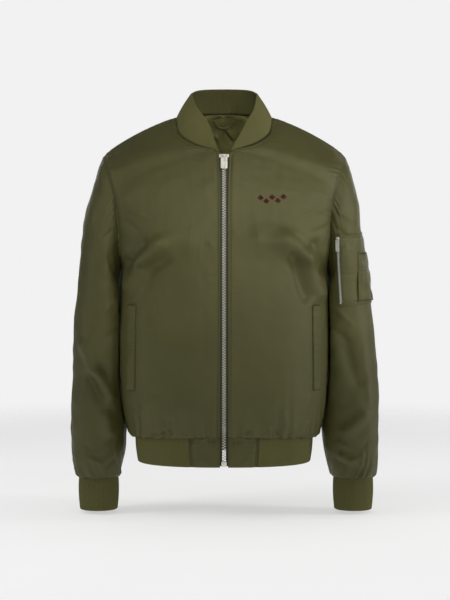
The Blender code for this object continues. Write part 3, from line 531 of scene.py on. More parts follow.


# rides on the garment and stands for its solids
def settle(made, replaced=(), body=garment):
    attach(made, body)
    if replaced:
        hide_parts(*replaced)
    made.data.calc_loop_triangles()
    triangleCount[made.name] = len(made.data.loop_triangles)


# The body: rows of half a panel, from the zip or the centre back to the side seam or the armhole
BodyRow = namedtuple("bodyRow", "innerX innerY innerZ outerX outerY outerZ fullness steps")
body = {
    "zipHalf": 0.0075,
    "thickness": 0.0020,
    "hemThinner": 0.0009,  # less where the fronts roll in above the rib
    "hemRoll": (0.006, 0.008),  # that place and its width
    "spacing": 0.0025,
    "backSpacing": 0.0031,
    "rowLength": 0.262,
    "tabShare": 0.263,  # where the satin tab of the hem ends on the front row
    "shoulderDrop": 1.22,
    "front": rowsOf(BodyRow, [
        (0.0075, -0.1200, -0.587, 0.1685, -0.012, -0.588, 2.35, 1),
        (0.0075, -0.1215, -0.591, 0.1705, -0.012, -0.598, 2.35, 1),
        (0.0075, -0.1235, -0.593, 0.1745, -0.012, -0.602, 2.35, 1),
        (0.0075, -0.1265, -0.590, 0.1795, -0.012, -0.597, 2.35, 1),
        (0.0075, -0.1300, -0.577, 0.1845, -0.012, -0.580, 2.35, 2),
        (0.0075, -0.1380, -0.540, 0.1915, -0.012, -0.540, 2.35, 2),
        (0.0075, -0.1435, -0.480, 0.1960, -0.012, -0.480, 2.35, 2),
        (0.0075, -0.1450, -0.410, 0.1970, -0.012, -0.410, 2.35, 2),
        (0.0075, -0.1450, -0.345, 0.1955, -0.011, -0.345, 2.35, 2),
        (0.0075, -0.1430, -0.288, 0.1940, -0.008, -0.290, 2.35, 2),
        (0.0075, -0.1390, -0.236, 0.1955, -0.040, -0.254, 2.30, 2),
        (0.0075, -0.1310, -0.184, 0.1965, -0.058, -0.212, 2.25, 2),
        (0.0080, -0.1165, -0.128, 0.2005, -0.065, -0.172, 2.20, 2),
        (0.0118, -0.0910, -0.070, 0.2075, -0.062, -0.139, 2.10, 2),
        (0.0520, -0.0790, -0.057, 0.2150, -0.051, -0.113, 2.00, 2),
        (0.0860, -0.0420, -0.031, 0.2225, -0.030, -0.092, 2.00, 2),
        (0.0910, 0.0000, -0.002, 0.2285, 0.002, -0.0745, 2.00, 0),
    ]),
    "back": rowsOf(BodyRow, [
        (0.0, 0.1130, -0.588, 0.1685, -0.012, -0.588, 2.35, 1),
        (0.0, 0.1150, -0.598, 0.1705, -0.012, -0.598, 2.35, 1),
        (0.0, 0.1190, -0.602, 0.1745, -0.012, -0.602, 2.35, 1),
        (0.0, 0.1235, -0.597, 0.1795, -0.012, -0.597, 2.35, 1),
        (0.0, 0.1265, -0.580, 0.1845, -0.012, -0.580, 2.35, 2),
        (0.0, 0.1275, -0.540, 0.1915, -0.012, -0.540, 2.35, 2),
        (0.0, 0.1245, -0.480, 0.1960, -0.012, -0.480, 2.35, 2),
        (0.0, 0.1215, -0.410, 0.1970, -0.012, -0.410, 2.35, 2),
        (0.0, 0.1230, -0.345, 0.1955, -0.011, -0.345, 2.35, 2),
        (0.0, 0.1260, -0.285, 0.1940, -0.008, -0.290, 2.35, 2),
        (0.0, 0.1270, -0.228, 0.1935, 0.032, -0.256, 2.30, 2),
        (0.0, 0.1240, -0.170, 0.1940, 0.054, -0.214, 2.25, 2),
        (0.0, 0.1150, -0.108, 0.1985, 0.063, -0.172, 2.20, 2),
        (0.0, 0.0970, -0.048, 0.2050, 0.062, -0.138, 2.10, 2),
        (0.0, 0.0640, 0.008, 0.2135, 0.053, -0.112, 2.00, 1),
        (0.0300, 0.0600, 0.0075, 0.2175, 0.0450, -0.102, 2.00, 2),
        (0.0670, 0.0370, 0.0045, 0.2230, 0.0290, -0.0885, 2.00, 2),
        (0.0910, 0.0000, -0.002, 0.2285, 0.002, -0.0745, 2.00, 0),
    ]),
    "frontCorner": 13,  # the row where the zip edge turns into the neckline
    "backCorner": 14,
    "underarm": 9,
    "frontFoldsRight": rowsOf(Crease, [
        (0.175, -0.315, 0.150, -0.268, 0.014, 0.006),
        (0.150, -0.268, 0.118, -0.240, 0.015, 0.008),
        (0.118, -0.240, 0.012, -0.229, 0.026, 0.0050),
        (0.174, -0.272, 0.148, -0.240, 0.013, -0.005),
        (0.135, -0.285, 0.108, -0.268, 0.013, -0.005),
    ]),
    "frontFoldsLeft": rowsOf(Crease, [
        (0.176, -0.330, 0.148, -0.262, 0.014, 0.007),
        (0.148, -0.262, 0.110, -0.232, 0.018, 0.006),
        (0.110, -0.232, 0.012, -0.229, 0.026, 0.0046),
        (0.150, -0.335, 0.126, -0.262, 0.011, -0.006),
        (0.182, -0.290, 0.166, -0.240, 0.009, -0.005),
    ]),
    "backFolds": rowsOf(Crease, [
        (0.165, -0.300, 0.105, -0.235, 0.018, 0.0030),
        (0.105, -0.235, 0.030, -0.215, 0.020, 0.0022),
        (-0.170, -0.315, -0.118, -0.248, 0.017, 0.0030),
        (-0.118, -0.248, -0.020, -0.230, 0.020, 0.0022),
        (0.120, -0.500, 0.060, -0.420, 0.022, 0.0022),
        (-0.135, -0.470, -0.085, -0.380, 0.020, 0.0022),
    ]),
}


# one row of a half panel at shares of its length
def rowLine(row, shares):
    turn = np.linspace(0, math.pi / 2, 360)
    across = np.sin(turn) ** (2 / row.fullness)
    back = 1 - np.clip(np.cos(turn), 0, 1) ** (2 / row.fullness)
    drop = body["shoulderDrop"]
    down = 1 - np.clip(1 - across**drop, 0, 1) ** (1 / drop)
    inner = np.array([row.innerX, row.innerY, row.innerZ])
    outer = np.array([row.outerX, row.outerY, row.outerZ])
    line = inner + (outer - inner) * np.stack([across, back, down], axis=1)
    along = lengthAlong(line)
    return readAt(shares * along[-1], along, line)


def halfPanel(table, places, shares):
    return easedAt([rowLine(row, shares) for row in table], [row.steps for row in table], places)


# the place of a table row
def placeOf(table, k):
    return sum(row.steps for row in table[:k])


def panelPlaces(table, corner, spacing, lowPlaces=None):
    total, under = placeOf(table, len(table)), placeOf(table, body["underarm"])
    dense = np.linspace(0, total, 1500)
    line = halfPanel(table, dense, np.array([0.55]))[:, 0]
    if lowPlaces is None:
        return placesOn(line, dense, [0, under, placeOf(table, corner), total], spacing)
    upper = placesOn(line, dense, [under, placeOf(table, corner), total], spacing, closeStart=False)
    return np.concatenate([lowPlaces[lowPlaces <= under], upper[1:]])


underPlace = placeOf(body["front"], body["underarm"])
frontPlaces = panelPlaces(body["front"], body["frontCorner"], body["spacing"])
backPlaces = panelPlaces(body["back"], body["backCorner"], body["spacing"], frontPlaces)
frontShares = spread(body["rowLength"], body["spacing"]) / body["rowLength"]
backShares = spread(body["rowLength"], body["backSpacing"], closeStart=False) / body["rowLength"]
frontBase = halfPanel(body["front"], frontPlaces, frontShares)
backBase = halfPanel(body["back"], backPlaces, backShares)
underRow = int(np.argmin(np.abs(frontPlaces - underPlace)))
frontCornerRow = int(np.argmin(np.abs(frontPlaces - placeOf(body["front"], body["frontCorner"]))))
backCornerRow = int(np.argmin(np.abs(backPlaces - placeOf(body["back"], body["backCorner"]))))
backBase[: underRow + 1, -1] = frontBase[: underRow + 1, -1]
print("body form", frontBase.shape, backBase.shape)


# The sleeves: rings from the armhole to the cuff by their outermost and innermost points
SleeveRing = namedtuple("sleeveRing", "outerX outerZ innerX innerZ y front back steps")
Lean = namedtuple("ribCrestShare", "z outward")
sleeve = {
    "spacing": 0.0027,
    "fullness": 2.15,
    "clear": 0.0022,  # it hangs this far off the side of the body
    "rearFullness": 0.0075,  # and its inner side is this much fuller behind the side seam
    "rings": rowsOf(SleeveRing, [
        (0.2285, -0.0745, 0.1940, -0.290, 0.000, 0.066, 0.066, 1),
        (0.2365, -0.093, 0.1960, -0.293, 0.002, 0.069, 0.069, 1),
        (0.2480, -0.127, 0.1965, -0.301, 0.004, 0.071, 0.072, 2),
        (0.2595, -0.167, 0.1955, -0.315, 0.006, 0.072, 0.073, 2),
        (0.2675, -0.213, 0.1860, -0.335, 0.009, 0.072, 0.073, 2),
        (0.2740, -0.270, 0.1800, -0.362, 0.011, 0.071, 0.073, 2),
        (0.2800, -0.335, 0.1770, -0.399, 0.013, 0.070, 0.071, 2),
        (0.2855, -0.405, 0.1760, -0.444, 0.014, 0.068, 0.069, 2),
        (0.2895, -0.475, 0.1770, -0.496, 0.012, 0.065, 0.066, 2),
        (0.2915, -0.540, 0.1800, -0.548, 0.009, 0.061, 0.062, 2),
        (0.2915, -0.595, 0.1845, -0.598, 0.005, 0.058, 0.058, 2),
        (0.2895, -0.640, 0.1890, -0.640, 0.002, 0.053, 0.053, 1),
        (0.2855, -0.667, 0.1945, -0.667, 0.000, 0.047, 0.047, 1),
        (0.2820, -0.680, 0.1975, -0.680, 0.000, 0.043, 0.043, 1),
        (0.2790, -0.682, 0.2000, -0.682, 0.000, 0.040, 0.040, 1),
        (0.2770, -0.676, 0.2015, -0.676, 0.000, 0.038, 0.038, 0),
    ]),
    # the left arm hangs a little closer at the elbow and further out at the cuff
    "leanLeft": rowsOf(Lean, [
        (-0.760, 0.006),
        (-0.660, 0.007),
        (-0.600, 0.003),
        (-0.460, 0.000),
        (-0.380, -0.002),
        (-0.263, -0.007),
        (-0.210, -0.007),
        (-0.157, -0.004),
        (-0.080, 0.000),
    ]),
    "foldsRight": rowsOf(Crease, [
        (0.262, -0.430, 0.240, -0.480, 0.012, 0.006),
        (0.240, -0.480, 0.215, -0.525, 0.012, 0.006),
        (0.250, -0.490, 0.225, -0.545, 0.011, -0.006),
        (0.226, -0.545, 0.218, -0.590, 0.012, 0.006),
        (0.235, -0.135, 0.215, -0.150, 0.012, -0.005),
    ]),
    "foldsLeft": rowsOf(Crease, [
        (0.255, -0.655, 0.225, -0.640, 0.009, 0.004),
        (0.262, -0.560, 0.232, -0.590, 0.013, 0.004),
        (0.225, -0.420, 0.250, -0.500, 0.013, -0.004),
    ]),
    "foldsBehind": rowsOf(Crease, [
        (0.205, -0.360, 0.262, -0.410, 0.013, 0.005),
        (0.210, -0.405, 0.258, -0.470, 0.012, -0.005),
        (0.255, -0.520, 0.215, -0.580, 0.012, 0.005),
    ]),
}


# the closed armhole line at +X, from the shoulder tip down the front and up the back
def armholeLine(front, back, under):
    return np.concatenate([front[under:, -1][::-1], back[under:, -1][1:-1]])


# the angle of each point of the armhole: 0 at the shoulder, a half turn at the underarm
def turnsOf(ring, lowest):
    along = lengthAlong(np.concatenate([ring, ring[:1]]))
    down = along[: lowest + 1] / along[lowest] * math.pi
    up = (along[lowest:-1] - along[lowest]) / (along[-1] - along[lowest]) * math.pi + math.pi
    return np.concatenate([down, up[1:]])


def ringLine(ring, angles):
    outer = np.array([ring.outerX, ring.y, ring.outerZ])
    inner = np.array([ring.innerX, ring.y, ring.innerZ])
    cosine, sine = np.cos(angles), np.sin(angles)
    power = 2 / sleeve["fullness"]
    along = np.sign(cosine) * np.abs(cosine) ** power
    depth = np.where(sine > 0, -ring.front, ring.back) * np.abs(sine) ** power
    made = (outer + inner) / 2 + along[:, None] * (outer - inner) / 2
    made[:, 1] += depth
    return made


# how far out the side of the body reaches at each y and z, and above the underarm the armhole
def bodySide(front, back, low, under, y, z):
    rings = np.concatenate([front[low : under + 1], back[low : under + 1, ::-1][:, 1:]], axis=1)[::3]
    reach = np.array([np.interp(y, ring[:, 1], ring[:, 0]) for ring in rings])
    heights = rings[:, front.shape[1] - 1, 2]
    side = np.array([np.interp(z[k], heights, reach[:, k]) for k in range(len(z))])
    hole = front[under:, -1]
    return side + np.interp(z, hole[:, 2], hole[:, 0] - hole[0, 0])


def sleeveForm(front, back, under):
    hole = armholeLine(front, back, under)
    angles = turnsOf(hole, len(front) - 1 - under)
    lines = [ringLine(ring, angles) for ring in sleeve["rings"]]
    own = hole - lines[0]
    for k, share in enumerate((1.0, 0.55, 0.2)):
        lines[k] = lines[k] + own * share
    steps = [ring.steps for ring in sleeve["rings"]]
    dense = np.linspace(0, sum(steps), 1500)
    middle = easedAt([line[[len(hole) // 4]] for line in lines], steps, dense)[:, 0]
    grid = easedAt(lines, steps, placesOn(middle, dense, [0, sum(steps)], sleeve["spacing"]))
    low = int(np.argmax(frontPlaces >= 4))
    start = grid[0]
    for row in grid[1:]:
        away = np.linalg.norm(row - start, axis=1)
        share = (row[:, 0] - row[:, 0].min()) / np.ptp(row[:, 0])
        full = smooth(0.0, 0.04, row[:, 1]) * (1 - smooth(0.1, 0.5, share))
        full = sleeve["rearFullness"] * full * smooth(-0.60, -0.57, row[:, 2])
        row[:, 0] -= full * smooth(0.0, 0.02, away)
        reach = bodySide(front, back, low, under, row[:, 1], row[:, 2])
        reach = reach + sleeve["clear"] * smooth(0.0, 0.02, away)
        soft = 0.004 * smooth(0.0, 0.03, away)
        near = np.abs(row[:, 0] - reach) < 0.03
        eased = (row[:, 0] + reach + np.sqrt((row[:, 0] - reach) ** 2 + soft**2)) / 2
        row[:, 0] = np.where(near, eased, np.maximum(row[:, 0], reach))
    return grid, angles


def leaned(grid):
    inner, outer = grid[:, :, 0].min(axis=1), grid[:, :, 0].max(axis=1)
    share = (grid[:, :, 0] - inner[:, None]) / (outer - inner)[:, None]
    low = np.clip((-0.56 - grid[:, :, 2]) / 0.08, 0, 1)
    table = np.array(sleeve["leanLeft"])
    moved = grid.copy()
    moved[1:, :, 0] += (np.maximum(share, low) * np.interp(grid[:, :, 2], *table.T))[1:]
    return moved


def closedRing(grid):
    return np.concatenate([grid, grid[:, :1]], axis=1)


armBase, armAngles = sleeveForm(frontBase, backBase, underRow)
print("sleeve form", armBase.shape)


# What the sewing and the wearing do to the surface: heights along the normal
relief = {
    "broad": 0.0011,
    "fine": 0.00022,
    "hemPitch": 0.024,
    "hemHeight": 0.0022,
    "armholePitch": 0.015,
    "placketStitch": 0.0038,
    "neckStitch": 0.0100,
    "edgeStitch": 0.0050,
    "frontCreasesRight": rowsOf(Crease, [
        (0.181, -0.168, 0.140, -0.196, 0.006, 0.0016),
        (0.186, -0.196, 0.150, -0.226, 0.006, -0.0018),
        (0.182, -0.240, 0.158, -0.300, 0.005, 0.0014),
        (0.152, -0.560, 0.128, -0.515, 0.008, 0.0016),
        (0.110, -0.588, 0.092, -0.530, 0.007, 0.0019),
        (0.062, -0.588, 0.055, -0.545, 0.006, -0.0015),
        (0.146, -0.600, 0.104, -0.588, 0.0045, -0.0030),
        (0.106, -0.576, 0.092, -0.597, 0.0040, -0.0026),
        (0.074, -0.582, 0.054, -0.596, 0.0040, -0.0024),
        (0.124, -0.592, 0.098, -0.568, 0.0060, 0.0024),
        (0.171, -0.345, 0.150, -0.322, 0.005, 0.0011),
        (0.160, -0.372, 0.146, -0.352, 0.005, -0.0010),
        (0.158, -0.518, 0.140, -0.540, 0.006, 0.0013),
        (0.030, -0.230, 0.014, -0.246, 0.006, 0.0012),
    ]),
    "frontCreasesLeft": rowsOf(Crease, [
        (0.184, -0.172, 0.150, -0.186, 0.006, 0.0015),
        (0.186, -0.205, 0.160, -0.222, 0.006, -0.0017),
        (0.168, -0.236, 0.130, -0.216, 0.007, 0.0015),
        (0.130, -0.590, 0.100, -0.545, 0.008, 0.0019),
        (0.080, -0.590, 0.066, -0.540, 0.007, -0.0015),
        (0.065, -0.597, 0.118, -0.590, 0.0045, -0.0030),
        (0.086, -0.574, 0.104, -0.595, 0.0040, -0.0024),
        (0.028, -0.592, 0.054, -0.580, 0.0040, -0.0022),
        (0.132, -0.596, 0.156, -0.572, 0.0060, 0.0024),
        (0.165, -0.345, 0.146, -0.330, 0.005, 0.0010),
        (0.166, -0.515, 0.145, -0.548, 0.006, 0.0014),
        (0.026, -0.224, 0.013, -0.212, 0.006, 0.0012),
    ]),
    "backCreases": rowsOf(Crease, [
        (0.178, -0.190, 0.130, -0.215, 0.007, 0.0020),
        (-0.180, -0.200, -0.140, -0.235, 0.007, 0.0020),
        (0.080, -0.590, 0.060, -0.530, 0.008, 0.0019),
        (-0.050, -0.590, -0.036, -0.540, 0.008, 0.0018),
        (-0.125, -0.588, -0.140, -0.530, 0.008, -0.0018),
        (0.030, -0.120, -0.040, -0.128, 0.009, 0.0012),
        (0.150, -0.420, 0.110, -0.470, 0.008, 0.0016),
    ]),
    "sleeveCreases": rowsOf(Crease, [
        (0.212, -0.178, 0.245, -0.205, 0.006, 0.0017),
        (0.206, -0.212, 0.236, -0.240, 0.006, -0.0016),
        (0.205, -0.352, 0.240, -0.392, 0.007, 0.0018),
        (0.200, -0.395, 0.232, -0.425, 0.006, -0.0016),
        (0.262, -0.500, 0.275, -0.560, 0.007, 0.0014),
        (0.212, -0.610, 0.245, -0.634, 0.006, 0.0018),
        (0.262, -0.640, 0.232, -0.650, 0.005, 0.0021),
        (0.205, -0.640, 0.228, -0.658, 0.005, -0.0017),
        (0.270, -0.612, 0.250, -0.628, 0.006, -0.0014),
    ]),
}


# the share of a fold's height that is left near the edges of the cut
def foldFade(columns, lastColumn, rows, lastRow):
    across = np.clip(np.minimum(columns / 3.5, (lastColumn - columns) / 2), 0, 1) ** 2
    up = np.clip(np.minimum(rows, lastRow - rows) / 3, 0, 1) ** 2
    return up[:, None] * across[None, :]


# soft unevenness, left out near the seams
def unevenness(grid, distance, seed, broad=None, fine=None):
    off = smooth(0.0, 0.030, distance)
    height = (broad or relief["broad"]) * softNoise(grid * [1, 1, 0.7], 0.13, seed) * off
    crumple = 1 - np.abs(softNoise(grid * [1, 1, 0.8], 0.075, seed + 1))
    height += (fine or relief["fine"]) * 2.2 * crumple * off
    return height + (fine or relief["fine"]) * softNoise(grid, 0.028, seed + 2) * smooth(0, 0.008, distance)


# 1 where the cloth looks to the front (-1) or to the rear (1), and 0 near the side seam and the shoulder
def facing(grid, way):
    return smooth(0.010, 0.024, grid[..., 1] * way)


# the lines of the creases wander a little
def wandering(grid, seed, reach=0.004):
    shift = [softNoise(grid, 0.08, seed + k) for k in (7, 8)]
    return grid[..., [0, 2]] + reach * np.stack(shift, axis=-1)


def hemGathers(sizes, seed):
    gathered = puckers(sizes["low"], sizes["first"], 0.020, relief["hemHeight"], relief["hemPitch"], seed)
    small = puckers(sizes["low"], sizes["first"], 0.010, 0.0012, 0.012, seed + 3)
    return np.maximum(gathered + small, -0.0018)


def panelHeight(grid, sizes, shares, places, table, cornerRow, folds, creases, faces, seed):
    columns = np.interp(shares, [0, body["tabShare"], 1], [0, 4, 13])
    fade = foldFade(columns, 13, places, placeOf(table, len(table)))
    seen = facing(grid, faces)
    edge = nearestEdge(sizes)
    height = foldHeight(grid[..., [0, 2]], folds) * fade * seen
    aboveHem = smooth(0, 0.012, edge) * smooth(0.012, 0.024, sizes["low"])
    height += creaseHeight(wandering(grid, seed), creases) * seen * aboveHem
    height += unevenness(grid, edge, seed) + hemGathers(sizes, seed)
    side = np.arange(len(grid))[:, None] < underRow
    armhole = puckers(sizes["last"], sizes["low"], 0.009, 0.0006, relief["armholePitch"], seed)
    sideSeam = puckers(sizes["last"], sizes["low"], 0.008, 0.0005, 0.020, seed + 1)
    upArmhole = smooth(underRow - 1, underRow + 12, np.arange(len(grid)))[:, None]
    height += np.where(side, sideSeam, armhole * upArmhole)
    height += seamSink(sizes["last"]) + seamSink(sizes["low"]) + seamSink(sizes["top"])
    height += channel(sizes["last"], relief["edgeStitch"])
    neck = np.arange(len(grid))[:, None] >= cornerRow
    atNeck = channel(sizes["first"], relief["neckStitch"])
    atNeck = atNeck + puckers(sizes["first"], sizes["low"], 0.009, 0.0005, 0.013, seed + 4)
    if faces < 0:
        atNeck = atNeck + seamSink(sizes["first"])
    return height, neck, atNeck


def frontPanel(folds, creases, seed):
    sizes = measured(frontBase)
    height, neck, atNeck = panelHeight(
        frontBase, sizes, frontShares, frontPlaces, body["front"], frontCornerRow, folds, creases, -1, seed
    )
    placket = channel(sizes["first"], relief["placketStitch"], 0.0014, 0.0018)
    placket = placket + puckers(sizes["first"], sizes["low"], 0.007, 0.00035, 0.016, seed + 5)
    return frontBase + baseNormals[0] * (height + np.where(neck, atNeck, placket))[..., None]


def backPanel(folds, creases):
    halves = []
    for grid, normal in ((backBase, backNormals), (backBase * flip, backNormals * flip)):
        sizes = measured(grid)
        # the middle of the back is no edge below the neck
        sizes["first"] = sizes["first"] + (np.arange(len(grid)) < backCornerRow)[:, None]
        height, neck, atNeck = panelHeight(
            grid, sizes, backShares, backPlaces, body["back"], backCornerRow, folds, creases, 1, 31
        )
        halves.append(grid + normal * (height + np.where(neck, atNeck, 0))[..., None])
    return halves[0][:, ::-1], halves[1]


# the height of the relief of one sleeve
def armHeight(grid, folds, creases, behind, seed):
    sizes = measured(closedRing(grid))
    sizes = {key: value[:, :-1] for key, value in sizes.items()}
    columns = np.interp(np.arange(grid.shape[1]), [0, grid.shape[1]], [0, 29])
    steps = [ring.steps for ring in sleeve["rings"]]
    rows = np.linspace(0, sum(steps), len(grid))
    fade = foldFade(columns, 29, rows, sum(steps))
    front, rear = facing(grid, -1), facing(grid, 1)
    place = wandering(grid, seed)
    edge = np.minimum(sizes["low"], sizes["top"])
    height = foldHeight(grid[..., [0, 2]], folds) * fade * front
    height += foldHeight(place, behind) * fade * rear
    height += creaseHeight(place, creases) * front * smooth(0, 0.02, edge)
    height += creaseHeight(place + [0.012, 0.018], creases) * rear * smooth(0, 0.02, edge)
    height += unevenness(grid, edge, seed, 0.0014, 0.00035)
    height += puckers(sizes["low"], sizes["first"], 0.010, 0.0007, relief["armholePitch"], seed)
    height += puckers(sizes["top"], sizes["first"], 0.014, 0.0019, 0.017, seed + 2)
    height += puckers(sizes["top"], sizes["first"], 0.006, 0.0007, 0.008, seed + 3)
    return height + seamSink(sizes["low"]) + seamSink(sizes["top"])


armLeftBase, armRightBase = leaned(armBase), armBase
armRings = closedRing(armLeftBase), closedRing(armRightBase)
shellGrids = frontBase, backBase[:, ::-1], backBase * flip, frontBase[:, ::-1] * flip, *armRings
baseNormals = normalsOf(shellGrids)
backNormals = baseNormals[1][:, ::-1]
frontLeft = frontPanel(body["frontFoldsLeft"], relief["frontCreasesLeft"], 3)
frontRight = frontPanel(body["frontFoldsRight"], relief["frontCreasesRight"], 11)
backLeft, backRight = backPanel(body["backFolds"], relief["backCreases"])
arms = []
for base, normals, folds, seed in (
    (armLeftBase, baseNormals[4], sleeve["foldsLeft"], 41),
    (armRightBase, baseNormals[5], sleeve["foldsRight"], 52),
):
    height = armHeight(base, folds, relief["sleeveCreases"], sleeve["foldsBehind"], seed)
    arms.append(closedRing(base + normals[:, :-1] * height[..., None]))
armLeft, armRight = arms

# the cloth on both sides of a seam takes the same direction through its thickness
thick = body["thickness"]
rollAt, rollWidth = body["hemRoll"]
hemRoll = np.exp(-(((measured(frontBase)["low"] - rollAt) / rollWidth) ** 2))
throughFront = baseNormals[0] * (thick - body["hemThinner"] * hemRoll)[..., None]
for name, node, front, mirror in (
    ("frontLeft", "front_left", frontLeft, False),
    ("frontRight", "front_right", frontRight, True),
):
    walls = [Part(front, front - throughFront)]
    clothPiece(name, walls, "satin", [node], "lining", stride=2, mirror=mirror)
for name, node, arm, normals, mirror in (
    ("sleeveLeft", "sleeve_left", armLeft, baseNormals[4], False),
    ("sleeveRight", "sleeve_right", armRight, baseNormals[5], True),
):
    walls = [Part(arm, arm - normals * thick, {"low": 0, "top": 0})]
    clothPiece(name, walls, "satin", [node], "lining", mirror=mirror)
leftSides = {"first": 0, "last": backCornerRow, "low": 0, "top": 0}
rightSides = {"first": backCornerRow, "last": 0, "low": 0, "top": 0}
walls = [
    Part(backLeft, backLeft - backNormals[:, ::-1] * thick, leftSides),
    Part(backRight, backRight - backNormals * flip * thick, rightSides),
]
clothPiece("backPanel", walls, "satin", ["back"], "lining")
print("shell", triangleCount)


# a tree of Geometry Nodes with named inputs by their kinds, and the sockets that bring them
def newTree(name, inputs):
    tree = bpy.data.node_groups.new(name, "GeometryNodeTree")
    for key, kind in {"Geometry": "Geometry", **inputs, "Finish": "Material"}.items():
        tree.interface.new_socket(key, in_out="INPUT", socket_type="NodeSocket" + kind)
    tree.interface.new_socket("Geometry", in_out="OUTPUT", socket_type="NodeSocketGeometry")
    return tree, addNode(tree, "NodeGroupInput").outputs


def pointField(tree, name, kind="FLOAT"):
    return addNode(tree, "GeometryNodeInputNamedAttribute", {"Name": name}, data_type=kind).outputs[0]


# makes copies real, gives them their finish and ends the tree
def endTree(tree, geometry, finish):
    real = addNode(tree, "GeometryNodeRealizeInstances", {"Geometry": geometry}).outputs[0]
    done = addNode(tree, "GeometryNodeSetMaterial", {"Geometry": real, "Material": finish}).outputs[0]
    addNode(tree, "NodeGroupOutput", {"Geometry": done})
    return tree


# keeps what a modifier makes as a plain mesh
def keepResult(made, change):
    mesh = bpy.data.meshes.new_from_object(made.evaluated_get(bpy.context.evaluated_depsgraph_get()))
    made.modifiers.remove(change)
    old, made.data = made.data, mesh
    bpy.data.meshes.remove(old)
    mesh.shade_smooth()


def applyTree(made, tree, values):
    change = made.modifiers.new(tree.name, "NODES")
    change.node_group = tree
    for item in tree.interface.items_tree:
        if item.in_out == "INPUT" and item.name in values:
            change[item.identifier] = values[item.name]
    keepResult(made, change)


# Rib knit: Geometry Nodes raise the ribs from a smooth tube, by the "ribPlace" and "ribOut" of each point
ribs = {"pitch": 0.0024, "samples": 5, "height": 0.00085, "roundness": 0.6, "thickness": 0.0026}


def ribTree():
    tree, given = newTree("raisedRibs", {"Height": "Float", "Roundness": "Float"})
    wave = mathNode(tree, "ABSOLUTE", waveOf(tree, pointField(tree, "ribPlace"), 2))
    crest = mathNode(tree, "POWER", wave, given["Roundness"])
    rise = mathNode(tree, "MULTIPLY", mathNode(tree, "SUBTRACT", crest, 1.0), given["Height"])
    offset = vectorNode(tree, "SCALE", {0: pointField(tree, "ribOut", "FLOAT_VECTOR"), "Scale": rise})
    moved = addNode(tree, "GeometryNodeSetPosition", {"Geometry": given["Geometry"], "Offset": offset})
    return endTree(tree, moved.outputs[0], given["Finish"])


def setAttribute(mesh, name, kind, values):
    field = "vector" if kind == "FLOAT_VECTOR" else "value"
    layer = mesh.attributes.new(name, kind, "POINT")
    layer.data.foreach_set(field, np.asarray(values, np.float32).ravel())


# the flattened loop of a folded band's section, as (share of its height, depth) from its sewn edge
def bandSection(height, thickness, count=12):
    r = thickness / 2
    end, sewn = r / height, 0.0002 / height
    made = [(share, 0.0) for share in np.linspace(sewn, 1 - end, count)]
    made += [(1 - end + end * math.sin(t), r - r * math.cos(t)) for t in np.linspace(0, math.pi, 6)[1:-1]]
    made += [(share, thickness) for share in np.linspace(1 - end, sewn, count)]
    return made + [(sewn, thickness * 0.67), (sewn, thickness * 0.33)]


ribMaker = ribTree()


# a folded rib band: lineAt gives its outer line at a share of its height, inward the way through the cloth
def ribBand(name, node, lineAt, inward, height, around, closed=False, held="stretched", mirror=False):
    section = bandSection(height, ribs["thickness"])
    rows = [lineAt(share) + inward * depth for share, depth in section]
    grid = np.array([*rows, rows[0]])
    if closed:
        grid = closedRing(grid)
        around = np.append(around, around[-1] + (around[-1] - around[-2]))
    normals = normalsOf([grid])[0]
    if np.dot(normals[len(section) // 6, 0], inward[0]) > 0:
        normals = -normals
    rowMap = np.cumsum(np.linalg.norm(np.diff(grid, axis=0, prepend=grid[:1]), axis=2), axis=0)
    mapPoints = np.stack(np.broadcast_arrays(around[None, :], rowMap), axis=2).reshape(-1, 2)
    faces = [*quadFaces(*rowMap.shape)]
    half = len(section) // 2
    if not closed:
        index = np.arange(rowMap.size).reshape(rowMap.shape)
        for column, turn in ((0, 1), (-1, -1)):
            loop = index[:-1, column]
            ends = [(loop[k], loop[k + 1], loop[-k - 2], loop[-k - 1]) for k in range(half - 1)]
            faces += [face[::turn] for face in ends]
    turn = flip if mirror else 1
    points = grid.reshape(-1, 3) * turn
    finish = finishes["rib_knit"]
    made = addMesh(name, points, faces, mapPoints, [0] * len(faces), [finish])
    firsts = np.unique(np.round(points * 1e6).astype(np.int64), axis=0, return_index=True)[1]
    setAttribute(made.data, "ribPlace", "FLOAT", np.broadcast_to(around, rowMap.shape).reshape(-1)[firsts])
    setAttribute(made.data, "ribOut", "FLOAT_VECTOR", (normals * turn).reshape(-1, 3)[firsts])
    applyTree(made, ribMaker, {"Height": ribs["height"], "Roundness": ribs["roundness"], "Finish": finish})
    width = measured(grid[:half])["first"][:, -1].max()
    clothCuts[name] = (made, width, height, height * width, held)
    settle(made, [node])


# a line at an even spacing of a few points a rib, and the number of ribs up to each point
def ribSpaced(line, *others):
    along = lengthAlong(line)
    count = round(along[-1] / ribs["pitch"])
    at = np.linspace(0, along[-1], count * ribs["samples"] + 1)
    found = [readAt(at, along, one) for one in (line, *others)]
    return [*found, np.arange(len(at)) / ribs["samples"]]


# The bands below the hem and the sleeves
Band = namedtuple("band", "top bottom taper")
hem = Band(-0.586, -0.650, 0.975)
cuff = Band(-0.674, -0.745, 0.970)
bandInset = 0.0006
bandRound = 0.002


# gives the line of a band at a share of the way down, and the way through it
def bandForm(ring, band, centre):
    away = unitOf(ring[:, :2] - centre)
    start = ring.copy()
    start[:, :2] -= away * bandInset

    def lineAt(share):
        row = start.copy()
        row[:, :2] = centre + (row[:, :2] - centre) * (1 - (1 - band.taper) * share)
        row[:, :2] += away * bandRound * math.sin(math.pi * share)
        row[:, 2] = band.top + (band.bottom - band.top) * share
        return row

    return lineAt, np.concatenate([-away, np.zeros((len(away), 1))], axis=1)


def middleOf(ring):
    return ((ring.min(axis=0) + ring.max(axis=0)) / 2)[:2]


